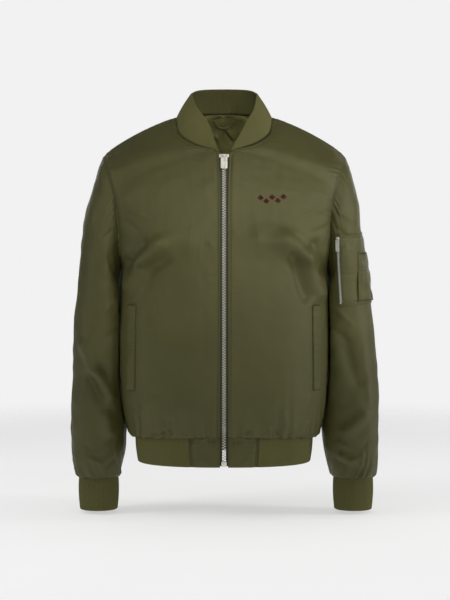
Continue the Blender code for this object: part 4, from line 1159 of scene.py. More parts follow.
hemHalf = np.concatenate([frontBase[0], backBase[0][::-1][1:]])
hemRing = np.concatenate([hemHalf, (hemHalf * flip)[::-1][1:]])
hemCentre = middleOf(hemRing)
tabLength = np.interp(body["tabShare"], frontShares, lengthAlong(frontBase[0]))
along = lengthAlong(hemRing)
onRib = (along > tabLength + 0.0002) & (along < along[-1] - tabLength - 0.0002)
ribEnds = readAt([tabLength, along[-1] - tabLength], along, hemRing)
hemLine, hemPlaces = ribSpaced(np.concatenate([ribEnds[:1], hemRing[onRib], ribEnds[1:]]))
ribBand("hemRib", "hem_rib", *bandForm(hemLine, hem, hemCentre), hem.top - hem.bottom, hemPlaces)
for name, node, arm, mirror in (
    ("cuffLeft", "cuff_left", armLeftBase, False),
    ("cuffRight", "cuff_right", armRightBase, True),
):
    ring, places = ribSpaced(closedRing(arm[-1:])[0])
    form = bandForm(ring[:-1], cuff, middleOf(ring))
    ribBand(name, node, *form, cuff.top - cuff.bottom, places[:-1], closed=True, mirror=mirror)


# The collar stands on the neckline, from the left zip edge round the back to the right one
CollarTop = namedtuple("collarTop", "x y z")
collar = {
    "round": 0.0015,
    "height": 0.068,
    "frontLeft": rowsOf(CollarTop, [
        (0.0145, -0.0930, -0.0655),
        (0.0385, -0.0765, -0.0190),
        (0.0590, -0.0470, 0.0190),
        (0.0625, -0.0100, 0.0430),
    ]),
    "frontRight": rowsOf(CollarTop, [
        (0.0138, -0.0930, -0.0640),
        (0.0270, -0.0790, -0.0200),
        (0.0545, -0.0470, 0.0200),
        (0.0625, -0.0100, 0.0430),
    ]),
    "back": rowsOf(CollarTop, [
        (0.000, 0.0520, 0.0560),
        (0.024, 0.0490, 0.0555),
        (0.050, 0.0290, 0.0520),
        (0.0625, -0.0100, 0.0430),
    ]),
}


def collarHalf(frontTops):
    lines = []
    for table, base, places, first, cornerRow, tops in (
        (body["front"], frontBase, frontPlaces, body["frontCorner"], frontCornerRow, frontTops),
        (body["back"], backBase, backPlaces, body["backCorner"], backCornerRow, collar["back"]),
    ):
        steps = [row.steps for row in table[first:]]
        top = easedAt(tops, steps, places[cornerRow:] - placeOf(table, first))
        lines.append((base[cornerRow:, 0], top))
    return [np.concatenate([front, back[::-1][1:]]) for front, back in zip(*lines)]


def collarForm():
    (low, highLeft), (_, highRight) = collarHalf(collar["frontLeft"]), collarHalf(collar["frontRight"])
    low = np.concatenate([low, (low * flip)[::-1][1:]])
    high = np.concatenate([highLeft, (highRight * flip)[::-1][1:]])
    for line in (low, high):
        for _ in range(24):  # no corner at the middle of the back
            line[1:-1] = (line[:-2] + 2 * line[1:-1] + line[2:]) / 4
    middle, low, high, places = ribSpaced((low + high) / 2, low, high)
    out = unitOf(np.cross(np.gradient(low, axis=0), high - low))

    def lineAt(share):
        return low + (high - low) * share + out * collar["round"] * math.sin(math.pi * share)

    return lineAt, -out, collar["height"], places


ribBand("collarRib", "collar", *collarForm(), held="folded")
print("rib bands", {key: triangleCount[key] for key in ("hemRib", "cuffLeft", "cuffRight", "collarRib")})


# The satin tabs of the hem, either side of the zip
tab = {
    "thickness": 0.0026,
    "stitches": (0.0030, 0.0062),  # two lines beside the rib
    "creases": rowsOf(Crease, [
        (0.016, -0.590, 0.046, -0.600, 0.0045, 0.0016),
        (0.014, -0.604, 0.034, -0.598, 0.0040, -0.0013),
        (0.050, -0.588, 0.060, -0.612, 0.0045, 0.0012),
        (0.030, -0.648, 0.044, -0.628, 0.0050, 0.0008),
        (0.058, -0.646, 0.064, -0.622, 0.0045, -0.0009),
    ]),
}


def hemTab(name, node, mirror, seed):
    shares = frontShares[frontShares < body["tabShare"]]
    end = rowLine(body["front"][0], np.array([body["tabShare"]]))
    line = np.concatenate([frontBase[0][: len(shares)], end])
    along = lengthAlong(line)
    lineAt, _ = bandForm(readAt(spread(along[-1], 0.0018), along, line), hem, hemCentre)
    height = hem.top - hem.bottom
    grid = np.array([lineAt(share) for share in 1 - spread(height, 0.002) / height])
    grid[:, 0, 0] = body["zipHalf"]
    sizes = measured(grid)
    rise = creaseHeight(wandering(grid, seed, 0.002), tab["creases"])
    edge = nearestEdge(sizes)
    rise = rise * smooth(0, 0.008, edge) + unevenness(grid, edge, seed, 0.0006, 0.00020)
    rise += puckers(sizes["top"], sizes["first"], 0.007, 0.0010, 0.012, seed)
    rise += puckers(sizes["last"], sizes["low"], 0.006, 0.0006, 0.011, seed + 1)
    rise += seamSink(sizes["last"], 0.0022, 0.0024) + channel(sizes["first"], relief["placketStitch"])
    rise += sum(channel(sizes["last"], place, 0.0018, 0.0018) for place in tab["stitches"])
    roundEdge = np.minimum(sizes["low"], sizes["first"])
    rise -= 0.0011 * (1 - np.sqrt(np.clip(1 - (1 - np.clip(roundEdge / 0.0013, 0, 1)) ** 2, 0, 1)))
    normals = normalsOf([grid])[0]
    outer = grid + normals * rise[..., None]
    inner = grid - normals * tab["thickness"]
    clothPiece(name, [Part(outer, inner)], "satin", [node], held="stretched", mirror=mirror)
    return outer


tabLeft = hemTab("hemTabLeft", "hem_tab_left", False, 61)
tabRight = hemTab("hemTabRight", "hem_tab_right", True, 67)


# Places on the cloth, by column and height
def atColumn(grid, column, z):
    k = min(int(math.floor(column)), grid.shape[1] - 2)
    line = grid[:, k] + (grid[:, k + 1] - grid[:, k]) * (column - k)
    if line[0, 2] > line[-1, 2]:
        line = line[::-1]
    return readAt([z], line[:, 2], line)[0]


def normalAt(grid, column, z, step=1.5):
    low, high = max(column - step, 0), min(column + step, grid.shape[1] - 1)
    across = atColumn(grid, high, z) - atColumn(grid, low, z)
    up = atColumn(grid, column, z + 0.005) - atColumn(grid, column, z - 0.005)
    return unitOf(np.cross(across, up) * math.copysign(1, grid[-1, 0, 2] - grid[0, 0, 2]))


# the column between two where the grid reaches x at a height
def columnOf(grid, x, z, first, last):
    for count in (60, 30):
        found = np.linspace(first, last, count)
        k = int(np.argmin([abs(atColumn(grid, column, z)[0] - x) for column in found]))
        first, last = found[max(k - 1, 0)], found[min(k + 1, count - 1)]
    return found[k]


# points and normals of a patch on the cloth, from rows of (first column, last column, height)
def patch(grid, edges, shares, rise=0.0):
    points = np.empty((len(edges), len(shares), 3))
    sides = np.empty_like(points)
    for r, (first, last, z) in enumerate(edges):
        for c, share in enumerate(shares):
            column, at = first + (last - first) * share, z - rise * share
            points[r, c], sides[r, c] = atColumn(grid, column, at), normalAt(grid, column, at)
    return points, softened(sides)


def softened(sides, rounds=2):
    for _ in range(rounds):
        padded = np.pad(sides, ((1, 1), (1, 1), (0, 0)), mode="edge")
        sides = unitOf(
            sides * 2 + padded[:-2, 1:-1] + padded[2:, 1:-1] + padded[1:-1, :-2] + padded[1:-1, 2:]
        )
    return sides


# a folded edge that is rounded down over its last part
def edgeDrop(distance, radius, depth):
    t = 1 - np.clip(distance / radius, 0, 1)
    return -depth * (1 - np.sqrt(np.clip(1 - t * t, 0, 1)))


# rows between the rows of a short table
def between(rows, heights):
    table = np.array(sorted(rows, key=lambda row: row[0]))
    return [[np.interp(z, table[:, 0], table[:, k]) for k in range(1, table.shape[1])] for z in heights]


# a piece of cloth laid on another, raised from the patch that it covers
def laidCloth(name, node, points, sides, lift, thickness, rise, mirror=False):
    outer = points + sides * (lift + thickness + rise)[..., None]
    clothPiece(name, [Part(outer, points + sides * lift)], "satin", [node], held="laid", mirror=mirror)
    return outer


# The welts of the side pockets, a slanted strip with its mouth towards the side seam
Welt = namedtuple("welt", "z innerX outerX")
welt = {
    "lift": 0.0007,
    "thickness": 0.0022,
    "stitches": 0.0030,
    "rows": rowsOf(Welt, [
        (-0.510, 0.1640, 0.1785),
        (-0.480, 0.1640, 0.1785),
        (-0.447, 0.1635, 0.1785),
        (-0.415, 0.1630, 0.1780),
        (-0.382, 0.1625, 0.1775),
        (-0.352, 0.1620, 0.1765),
    ]),
}


def sideWelt(name, node, panel, mirror, seed):
    heights = welt["rows"][0].z + spread(welt["rows"][-1].z - welt["rows"][0].z, 0.0022)
    edges = []
    for z, (innerX, outerX) in zip(heights, between(welt["rows"], heights)):
        ends = [columnOf(panel, x, z, 30, panel.shape[1] - 1) for x in (innerX, outerX)]
        edges.append((*ends, z))
    points, sides = patch(panel, edges, np.linspace(0, 1, 25))
    sizes = measured(points)
    edge = np.minimum(sizes["first"], sizes["last"])
    ends = np.minimum(sizes["low"], sizes["top"])
    rise = sum(edgeDrop(distance, 0.0016, welt["thickness"] * 0.9) for distance in (edge, ends))
    rise += 0.0005 * softNoise(points, 0.045, seed) * smooth(0, 0.004, edge)
    small = puckers(ends, sizes["first"], 0.006, 0.0005, 0.008, seed)
    rise += channel(sizes["first"], welt["stitches"], 0.0008) + small
    rise += puckers(sizes["first"], sizes["low"], 0.005, 0.0007, 0.017, seed + 1)
    return laidCloth(name, node, points, sides, welt["lift"], welt["thickness"], rise, mirror)


weltLeft = sideWelt("weltLeft", "welt_left", frontLeft, False, 71)
weltRight = sideWelt("weltRight", "welt_right", frontRight, True, 77)
print("welts ready")


# The utility pocket of the left sleeve: its front edge by x, its back edge by the turn round the arm
SleeveEdge = namedtuple("sleeveEdge", "z x")
sleevePocket = {
    "lift": 0.0012,
    "thickness": 0.0010,
    "behind": 4.5,  # columns of the solid's sleeve behind the outside of the arm
    "rise": 0.006,  # the outer side of the pocket sits higher
    "stitches": (0.0028, 0.0085),
    "spacing": 0.0022,
    "rows": rowsOf(SleeveEdge, [
        (-0.3560, 0.2125),
        (-0.3200, 0.2095),
        (-0.2850, 0.2065),
        (-0.2520, 0.2035),
        (-0.2220, 0.2010),
    ]),
    "penLift": 0.0028,
    "penThickness": 0.0022,
    "penBehind": 1.4,
    "penStitches": (0.0025, 0.0080),
    "penMouth": (0.0290, 0.0350),
    "penSpacing": 0.0020,
    "penRows": rowsOf(SleeveEdge, [(-0.3480, 0.2490), (-0.3000, 0.2480), (-0.2560, 0.2470)]),
    "zipRows": rowsOf(SleeveEdge, [
        (-0.3500, 0.2180),
        (-0.3360, 0.2171),
        (-0.3200, 0.2163),
        (-0.3020, 0.2155),
        (-0.2840, 0.2147),
        (-0.2660, 0.2140),
        (-0.2480, 0.2133),
        (-0.2350, 0.2128),
        (-0.2260, 0.2125),
    ]),
    "tapeHalf": 0.0045,
    "tapeLift": 0.0038,
    "tapeThickness": 0.0008,
    "chainLift": 0.0058,
    "teeth": (0.0028, 0.0017, -0.0016, 0.0004),  # pitch, half the width, and from and to this height
}
rolled = 60  # columns of the fine sleeve turned round, so that the outside of the arm isn't at an edge
armRolled = closedRing(np.roll(armLeft[:, :-1], rolled, axis=1))


# the fine column that many of the solid's columns behind the outside of the arm
def columnBehind(count):
    coarse = []
    for table in (body["front"], body["back"]):
        places = np.arange(underPlace, placeOf(table, len(table)) + 1)
        coarse.append(halfPanel(table, places, np.array([1.0]))[:, 0])
    ring = np.concatenate([coarse[0][::-1], coarse[1][1:-1]])
    angles = np.append(turnsOf(ring, len(coarse[0]) - 1), 2 * math.pi)
    angle = np.interp(len(ring) - count, np.arange(len(ring) + 1), angles)
    count = len(armAngles)
    return rolled - (count - np.interp(angle, [*armAngles, 2 * math.pi], np.arange(count + 1)))


def sleeveColumn(x, z):
    return columnOf(armRolled, x, z, rolled, rolled + armRolled.shape[1] * 0.45)


def pocketPatch(rows, behind, rise, spacing):
    heights = rows[0].z + spread(rows[-1].z - rows[0].z, spacing)
    back = columnBehind(behind)
    edges = [(back, sleeveColumn(x, z), z + rise) for z, (x,) in zip(heights, between(rows, heights))]
    wide = np.linalg.norm(atColumn(armRolled, back, -0.30) - atColumn(armRolled, edges[0][1], -0.30)) * 1.12
    return patch(armRolled, edges[::-1], spread(wide, spacing) / wide, rise)


def patchPocket():
    rows, behind, rise, spacing = (sleevePocket[key] for key in ("rows", "behind", "rise", "spacing"))
    points, sides = pocketPatch(rows, behind, rise, spacing)
    sizes = measured(points)
    edge = nearestEdge(sizes)
    rise = edgeDrop(edge, 0.0014, 0.0009)
    rise = rise + sum(channel(edge, at, 0.0013, 0.0016) for at in sleevePocket["stitches"])
    rise += 0.0008 * softNoise(points, 0.05, 81) * smooth(0.002, 0.012, edge)
    for side, other, width, height, pitch, seed in (
        ("low", "first", 0.008, 0.0006, 0.012, 82),
        ("top", "first", 0.008, 0.0006, 0.013, 83),
        ("last", "low", 0.016, 0.0005, 0.014, 84),
    ):
        rise += puckers(sizes[side], sizes[other], width, height, pitch, seed) * smooth(0, 0.006, edge)
    lift, thickness = sleevePocket["lift"], sleevePocket["thickness"]
    return laidCloth("patchPocket", "sleeve_pocket", points, sides, lift, thickness, rise)


def penPocket():
    rows, behind, spacing = (sleevePocket[key] for key in ("penRows", "penBehind", "penSpacing"))
    points, sides = pocketPatch(rows, behind, 0.0, spacing)
    sizes = measured(points)
    edge = nearestEdge(sizes)
    rise = edgeDrop(edge, 0.0014, 0.0011)
    rise = rise + sum(channel(sizes["last"], at, 0.0014, 0.0016) for at in sleevePocket["penStitches"])
    rise += sum(channel(sizes["low"], at, 0.0014, 0.0016) for at in sleevePocket["penMouth"])
    rise += 0.0009 * softNoise(points, 0.03, 86) * smooth(0, 0.006, edge)
    rise += puckers(sizes["last"], sizes["low"], 0.006, 0.0004, 0.010, 87)
    lift, thickness = sleevePocket["penLift"], sleevePocket["penThickness"]
    return laidCloth("penPocket", "pen_pocket", points, sides, lift, thickness, rise)


pocketOuter = patchPocket()
penOuter = penPocket()
print("sleeve pocket ready")


# The lining that shows inside the back of the neck, and the hanger loop
neckInside = {
    "low": -0.125,
    "lastShare": 0.345,
    "rowsBelow": 60,  # rows below the corner of the neckline
    "behind": 0.0012,
    "thickness": 0.0010,
    "loopWidth": 0.0045,
    "loopHalf": 0.018,
    "loopTop": 0.002,
    "loopDrop": 0.016,
    "loopLift": 0.0048,
    "creases": rowsOf(Crease, [
        (-0.045, -0.012, -0.016, -0.030, 0.0035, 0.0036),
        (-0.030, -0.006, -0.012, -0.052, 0.0035, -0.0030),
        (-0.020, -0.022, -0.006, -0.064, 0.0035, 0.0040),
        (0.000, -0.020, 0.012, -0.044, 0.0030, -0.0034),
        (0.006, -0.014, 0.018, -0.040, 0.0035, 0.0036),
        (0.034, -0.004, 0.020, -0.046, 0.0035, -0.0036),
        (0.050, -0.010, 0.026, -0.034, 0.0040, 0.0036),
        (-0.036, -0.060, 0.010, -0.078, 0.006, 0.0026),
        (0.050, -0.070, 0.016, -0.092, 0.006, -0.0020),
    ]),
}


def neckLining():
    table = body["back"]
    total, corner = placeOf(table, len(table)), placeOf(table, body["backCorner"])
    dense = np.linspace(0, total, 600)
    middle = halfPanel(table, dense, np.array([0.0]))[:, 0]
    highest = int(np.argmax(middle[:, 2]))
    start = np.interp(neckInside["low"], middle[:highest, 2], dense[:highest])
    below = neckInside["rowsBelow"]
    places = np.concatenate([np.linspace(start, corner, below), np.linspace(corner, total - 0.25, 22)[1:]])
    half = halfPanel(table, places, np.linspace(0, neckInside["lastShare"], 44))
    normals = normalsOf([half[:, ::-1], half * flip])[1] * flip
    walls = []
    # seen from inside the neck, so the far side is the outer face of this piece
    for sign, turn, sides in (
        ((1, 1, 1), 1, {"first": below - 2, "last": 0, "low": 0, "top": 0}),
        (flip, -1, {"first": 0, "last": below - 2, "low": 0, "top": 0}),
    ):
        grid, outward = half * sign, normals * sign
        rise = 0.0010 * softNoise(grid, 0.030, 91)
        rise = rise + 1.3 * creaseHeight(wandering(grid, 92, 0.003), neckInside["creases"])
        rise *= smooth(0, 0.010, measured(grid)["top"])
        near = grid - outward * (body["thickness"] + neckInside["behind"])
        far = near - outward * (neckInside["thickness"] + np.maximum(rise + 0.0022, -0.0005))[..., None]
        walls.append(Part(far[:, ::turn], near[:, ::turn], sides))
    clothPiece("neckLining", walls, "lining", ["lining_back"], stride=1)
    return half


def hangerLoop(half):
    back = half[: neckInside["rowsBelow"]]
    line, sides = [], []
    lift = body["thickness"] + neckInside["behind"] + neckInside["thickness"] + neckInside["loopLift"]
    for x in np.linspace(-neckInside["loopHalf"], neckInside["loopHalf"], 61):
        z = neckInside["loopTop"] - neckInside["loopDrop"] * (1 - (abs(x) / neckInside["loopHalf"]) ** 2.6)
        column = columnOf(back, abs(x), z, 0, 20)
        out, place = normalAt(back, column, z), atColumn(back, column, z)
        out[0], place[0] = math.copysign(out[0], x), x
        line.append(place + out * lift)
        sides.append(out)
    line, sides = np.array(line), np.array(sides)
    across = unitOf(np.cross(np.gradient(line, axis=0), sides))
    offsets = np.linspace(-0.5, 0.5, 9) * neckInside["loopWidth"]
    grid = line[:, None] + across[:, None] * offsets[None, :, None]
    crown = 0.0006 * (1 - (np.abs(offsets) / offsets[-1]) ** 4)
    outer = grid + sides[:, None] * (0.0004 + crown)[None, :, None]
    walls = [Part(outer, grid - sides[:, None] * 0.0002)]
    clothPiece("hangerLoop", walls, "lining", ["hanger_loop"], stride=1, cut=False)


hangerLoop(neckLining())
print("neck inside ready")


# Zips. The front zip runs up the middle, behind the edges of the fronts and tabs
zipper = {
    "top": -0.0745,
    "end": -0.6480,
    "tapeSet": -0.0042,  # the tapes' faces lie this far behind the edges
    "tapeInner": 0.0034,
    "tapeReach": 0.0165,
    "tapeThickness": 0.0010,
    "pitch": 0.0047,
    "toothHalf": 0.0029,
    "toothLow": -0.0010,
    "toothHigh": 0.0030,
    "chainLow": 0.0102,  # the teeth start this far above the zip's end, in the box
    "chainHigh": 0.0150,  # and stop this far below its top, in the slider
    "stopReach": 0.0068,
    "stopSize": (0.0038, 0.0022, 0.0030),
}


def zipLine():
    rows = frontPlaces >= placeOf(body["front"], 4)
    lineAt, _ = bandForm(frontBase[:1, 0], hem, hemCentre)
    tabEdge = np.concatenate([lineAt(share) for share in np.linspace(1, 0, 24)])
    line = np.concatenate([tabEdge, frontBase[rows, 0]])
    line = readAt(np.linspace(zipper["end"], zipper["top"], 400), line[:, 2], line)
    for _ in range(30):
        line[1:-1] = (line[:-2] + 2 * line[1:-1] + line[2:]) / 4
    line[:, 0] = 0
    return line, unitOf(np.cross([1, 0, 0], np.gradient(line, axis=0)))


# Geometry Nodes: copies of a small unit along a path, turned to its "out" and as wide as its "reach"
def rowTree():
    inputs = {"Unit": "Object", "Pitch": "Float", "Size": "Vector", "Unevenness": "Float", "Seed": "Int"}
    tree, given = newTree("unitsAlongPath", inputs)
    path = addNode(tree, "GeometryNodeMeshToCurve", {"Mesh": given["Geometry"]}).outputs[0]
    inputs = {"Curve": path, "Length": given["Pitch"]}
    spaced = addNode(tree, "GeometryNodeResampleCurve", inputs, mode="LENGTH").outputs[0]
    unit = addNode(tree, "GeometryNodeObjectInfo", {"Object": given["Unit"], "As Instance": True})
    along = addNode(tree, "GeometryNodeInputTangent").outputs[0]
    inputs = {"Primary Axis": pointField(tree, "out", "FLOAT_VECTOR"), "Secondary Axis": along}
    turned = addNode(tree, "FunctionNodeAxesToRotation", inputs, primary_axis="Z", secondary_axis="X")
    longer = addNode(tree, "ShaderNodeCombineXYZ", {0: 1.0, 1: pointField(tree, "reach"), 2: 1.0})
    size = vectorNode(tree, "MULTIPLY", {0: given["Size"], 1: longer.outputs[0]})
    low = mathNode(tree, "SUBTRACT", 1.0, given["Unevenness"])
    inputs = {2: low, 3: 1.0, "Seed": given["Seed"]}
    uneven = addNode(tree, "FunctionNodeRandomValue", inputs, data_type="FLOAT").outputs[1]
    placed = addNode(tree, "GeometryNodeInstanceOnPoints", {
        "Points": spaced, "Instance": unit.outputs["Geometry"], "Rotation": turned.outputs[0],
        "Scale": vectorNode(tree, "SCALE", {0: size, "Scale": uneven}),
    })
    return endTree(tree, placed.outputs[0], given["Finish"])


rowMaker = rowTree()


# copies of a unit along several paths, each with its outward direction and share of the unit's width
def unitRow(name, paths, unit, pitch, size, finish, replaced=(), uneven=0.0, seed=1):
    points, sides, reaches, edges, first = [], [], [], [], 0
    for line, out, *reach in paths:
        points.append(line)
        sides.append(out)
        reaches.append(reach[0] if reach else np.ones(len(line)))
        edges += [(first + k, first + k + 1) for k in range(len(line) - 1)]
        first += len(line)
    mesh = bpy.data.meshes.new(name)
    mesh.from_pydata(np.concatenate(points).tolist(), edges, [])
    setAttribute(mesh, "out", "FLOAT_VECTOR", np.concatenate(sides))
    setAttribute(mesh, "reach", "FLOAT", np.concatenate(reaches))
    made = addObject(name, mesh)
    applyTree(made, rowMaker, {
        "Unit": unit, "Pitch": pitch, "Size": size, "Unevenness": uneven, "Seed": seed, "Finish": finish,
    })
    settle(made, replaced)


def objectFrom(name, work):
    mesh = bpy.data.meshes.new(name)
    work.to_mesh(mesh)
    work.free()
    return addObject(name, mesh)


# one tooth: a foot on the tape, a neck and a rounded head that reaches past the middle
def toothUnit():
    work = bmesh.new()
    rings = []
    for across, halfAlong, halfHeight in (
        (-1.0, 0.46, 0.50), (-0.86, 0.50, 0.56), (0.30, 0.40, 0.36),
        (0.72, 0.44, 0.46), (1.05, 0.34, 0.50), (1.18, 0.20, 0.34),
    ):
        corners = ((-1, -1), (1, -1), (1, 1), (-1, 1))
        rings.append([work.verts.new((a * halfAlong, across, h * halfHeight)) for a, h in corners])
    for low, high in zip(rings, rings[1:]):
        for k in range(4):
            work.faces.new((low[k], low[(k + 1) % 4], high[(k + 1) % 4], high[k]))
    work.faces.new(rings[0][::-1])
    work.faces.new(rings[-1])
    bmesh.ops.recalc_face_normals(work, faces=work.faces)
    sharp = [edge for edge in work.edges if edge.calc_face_angle(0) > 1.0]
    bmesh.ops.bevel(work, geom=sharp, offset=0.07, segments=1, affect="EDGES")
    return objectFrom("toothUnit", work)


def stitchUnit():
    work = bmesh.new()
    bmesh.ops.create_uvsphere(work, u_segments=5, v_segments=4, radius=1.0)
    for vert in work.verts:
        x, y, z = vert.co
        vert.co = (z, y, x - 0.35 * z * z)
    bmesh.ops.recalc_face_normals(work, faces=work.faces)
    return objectFrom("stitchUnit", work)


tooth, stitch = toothUnit(), stitchUnit()
for unit in (tooth, stitch):
    unit.data.shade_smooth()


# the two rows of teeth of a closed chain along a line, each row half a pitch from the other
def zipTeeth(name, line, out, pitch, half, low, high, replaced):
    along = lengthAlong(line)
    across = unitOf(np.cross(out, np.gradient(line, axis=0)))
    paths = []
    for side in (-1, 1):
        start = pitch / 2 if side > 0 else 0
        at = np.linspace(start, along[-1] - pitch / 2 + start, 160)
        row, away, sides = (readAt(at, along, values) for values in (line, across, out))
        row = row - away * side * half * 0.56 + sides * (low + high) / 2
        paths.append((row[::-side], sides[::-side]))
    size = (pitch * 0.42, half * 0.62, (high - low))
    unitRow(name, paths, tooth, pitch, size, finishes["aged_metal"], replaced)


def frontZip():
    line, out = zipLine()
    along = lengthAlong(line)
    back = line + out * zipper["tapeSet"]
    at = np.linspace(0, zipper["tapeReach"] - zipper["tapeInner"], 14)
    cord = 0.0007 * np.exp(-(((at - 0.0008) / 0.0008) ** 2))
    grid = back[::2, None] + np.stack([zipper["tapeInner"] + at, at * 0, at * 0], axis=1)[None]
    outer = grid + out[::2, None] * cord[None, :, None]
    walls = [Part(outer, grid - out[::2, None] * zipper["tapeThickness"])]
    clothPiece("zipTapeLeft", walls, "zip_tape", ["zip_tape_left"], held="stretched")
    clothPiece("zipTapeRight", walls, "zip_tape", ["zip_tape_right"], held="stretched", mirror=True)
    keep = (along > zipper["chainLow"]) & (along < along[-1] - zipper["chainHigh"])
    zipTeeth(
        "zipTeeth", back[keep], out[keep], zipper["pitch"], zipper["toothHalf"],
        zipper["toothLow"], zipper["toothHigh"], ["zip_chain"],
    )


# a solid of the frame with its edges rounded, in metal
def metalPiece(name, node, width, rideOn=garment):
    source = frame["nodes"][node]
    work = bmesh.new()
    work.from_mesh(source.data)
    bmesh.ops.transform(work, matrix=source.matrix_world, verts=work.verts)
    bmesh.ops.remove_doubles(work, verts=work.verts, dist=0.00002)
    bmesh.ops.dissolve_limit(work, angle_limit=math.radians(1), verts=work.verts, edges=work.edges)
    made = objectFrom(name, work)
    change = made.modifiers.new("softEdges", "BEVEL")
    change.width = width
    change.segments = 2
    change.limit_method = "ANGLE"
    change.angle_limit = math.radians(35)
    change.use_clamp_overlap = True
    keepResult(made, change)
    made.data.materials.clear()
    made.data.materials.append(finishes["aged_metal"])
    made.data.set_sharp_from_angle(angle=math.radians(40))
    settle(made, [node], rideOn)


# the two stops above the slider
def zipStops():
    line, out = zipLine()
    near = len(line) - 1 - round(0.0045 / (lengthAlong(line)[-1] / len(line)))
    paths = []
    for side in (-1, 1):
        start = line[near] + out[near] * zipper["tapeSet"]
        start = start + np.array([side * zipper["stopReach"], 0, 0.0012])
        paths.append((np.array([start, start + (line[-1] - line[-2]) * 2]), np.array([out[near]] * 2)))
    unitRow("zipStops", paths, tooth, 0.0050, zipper["stopSize"], finishes["aged_metal"])


frontZip()
zipStops()
metalPiece("zipBox", "zip_box", 0.0006)
metalPiece("zipSlider", "zip_slider", 0.00035)
metalPiece("zipPull", "zip_pull", 0.00035, "front_pull")
metalPiece("sleeveZipSlider", "sleeve_zip_slider", 0.0002)
metalPiece("sleeveZipPull", "sleeve_zip_pull", 0.00025, "sleeve_pull")


# the zip of the sleeve pocket: a straight tape and chain beside the pocket's front edge
def sleeveZip():
    rows = sleevePocket["zipRows"]
    heights = np.linspace(rows[0].z, rows[-1].z, 90)
    columns = [sleeveColumn(x, z) for z, (x,) in zip(heights, between(rows, heights))]
    columns = np.polyval(np.polyfit(heights, columns, 3), heights)
    line = np.array([atColumn(armRolled, column, z) for column, z in zip(columns, heights)])
    out = np.array([normalAt(armRolled, column, z, 3) for column, z in zip(columns, heights)])
    line[:, 0], line[:, 1] = (np.polyval(np.polyfit(heights, line[:, k], 2), heights) for k in (0, 1))
    out = np.stack([np.polyval(np.polyfit(heights, out[:, k], 1), heights) for k in range(3)], axis=1)
    out = unitOf(out)
    across = unitOf(np.cross(np.gradient(line, axis=0), out))
    offsets = np.linspace(-1, 1, 13) * sleevePocket["tapeHalf"]
    outer = line[:, None] + out[:, None] * sleevePocket["tapeLift"] + across[:, None] * offsets[:, None]
    walls = [Part(outer, outer - out[:, None] * sleevePocket["tapeThickness"])]
    clothPiece("sleeveZipTape", walls, "zip_tape", ["sleeve_zip_tape"], held="stretched", cut=False)
    chain = (line + out * sleevePocket["chainLift"])[:-8]
    pitch, half, low, high = sleevePocket["teeth"]
    zipTeeth("sleeveZipTeeth", chain, out[:-8], pitch, half, low, high, ["sleeve_zip_chain"])


sleeveZip()
print("zips ready")


# The sewing: stitches along lines at a distance from the sides of the pieces, and short bars across them
sewing = {
    "pitch": 0.0031,
    "size": (0.00120, 0.00033, 0.00026),
    "lift": 0.00012,
    "tackPitch": 0.00060,
    "tackSize": (0.00032, 0.0015, 0.00045),
}


# a line at a distance from one side of a grid, with its outward directions
def lineBeside(grid, side, at, start=0, end=None, mirror=False, trim=0.0):
    sides = normalsOf([grid])[0]
    if side in ("low", "top"):
        grid, sides = grid.transpose(1, 0, 2), sides.transpose(1, 0, 2)
    if side in ("last", "top"):
        grid, sides = grid[:, ::-1], sides[:, ::-1]
    line, out = [], []
    for row, away in zip(grid[start:end], sides[start:end]):
        along = lengthAlong(row)
        line.append(readAt([at], along, row)[0])
        out.append(readAt([at], along, away)[0])
    line, out = np.array(line), np.array(out)
    along = lengthAlong(line)
    kept = (along >= trim) & (along <= along[-1] - trim)
    turn = flip if mirror else 1
    return (line + out * sewing["lift"])[kept] * turn, out[kept] * turn


# a short straight line on a grid between two places given by their shares of its columns and rows
def barOn(grid, start, end, mirror=False):
    sides = normalsOf([grid])[0]
    rows, columns = grid.shape[0] - 1, grid.shape[1] - 1
    line, out = [], []
    for share in np.linspace(0, 1, 12):
        column = round(columns * (start[0] + (end[0] - start[0]) * share))
        row = rows * (start[1] + (end[1] - start[1]) * share)
        low = min(int(row), rows - 1)
        for found, values in ((line, grid), (out, sides)):
            below, above = values[low, column], values[low + 1, column]
            found.append(below + (above - below) * (row - low))
    turn = flip if mirror else 1
    return np.array(line) * turn, np.array(out) * turn


# a level line across a panel between two places
def acrossPanel(grid, start, end, z, mirror=False):
    columns = [columnOf(grid, x, z, 10, grid.shape[1] - 1) for x in np.linspace(start, end, 17)]
    out = np.array([normalAt(grid, column, z) for column in columns])
    line = np.array([atColumn(grid, column, z) for column in columns]) + out * sewing["lift"]
    turn = flip if mirror else 1
    return line * turn, out * turn


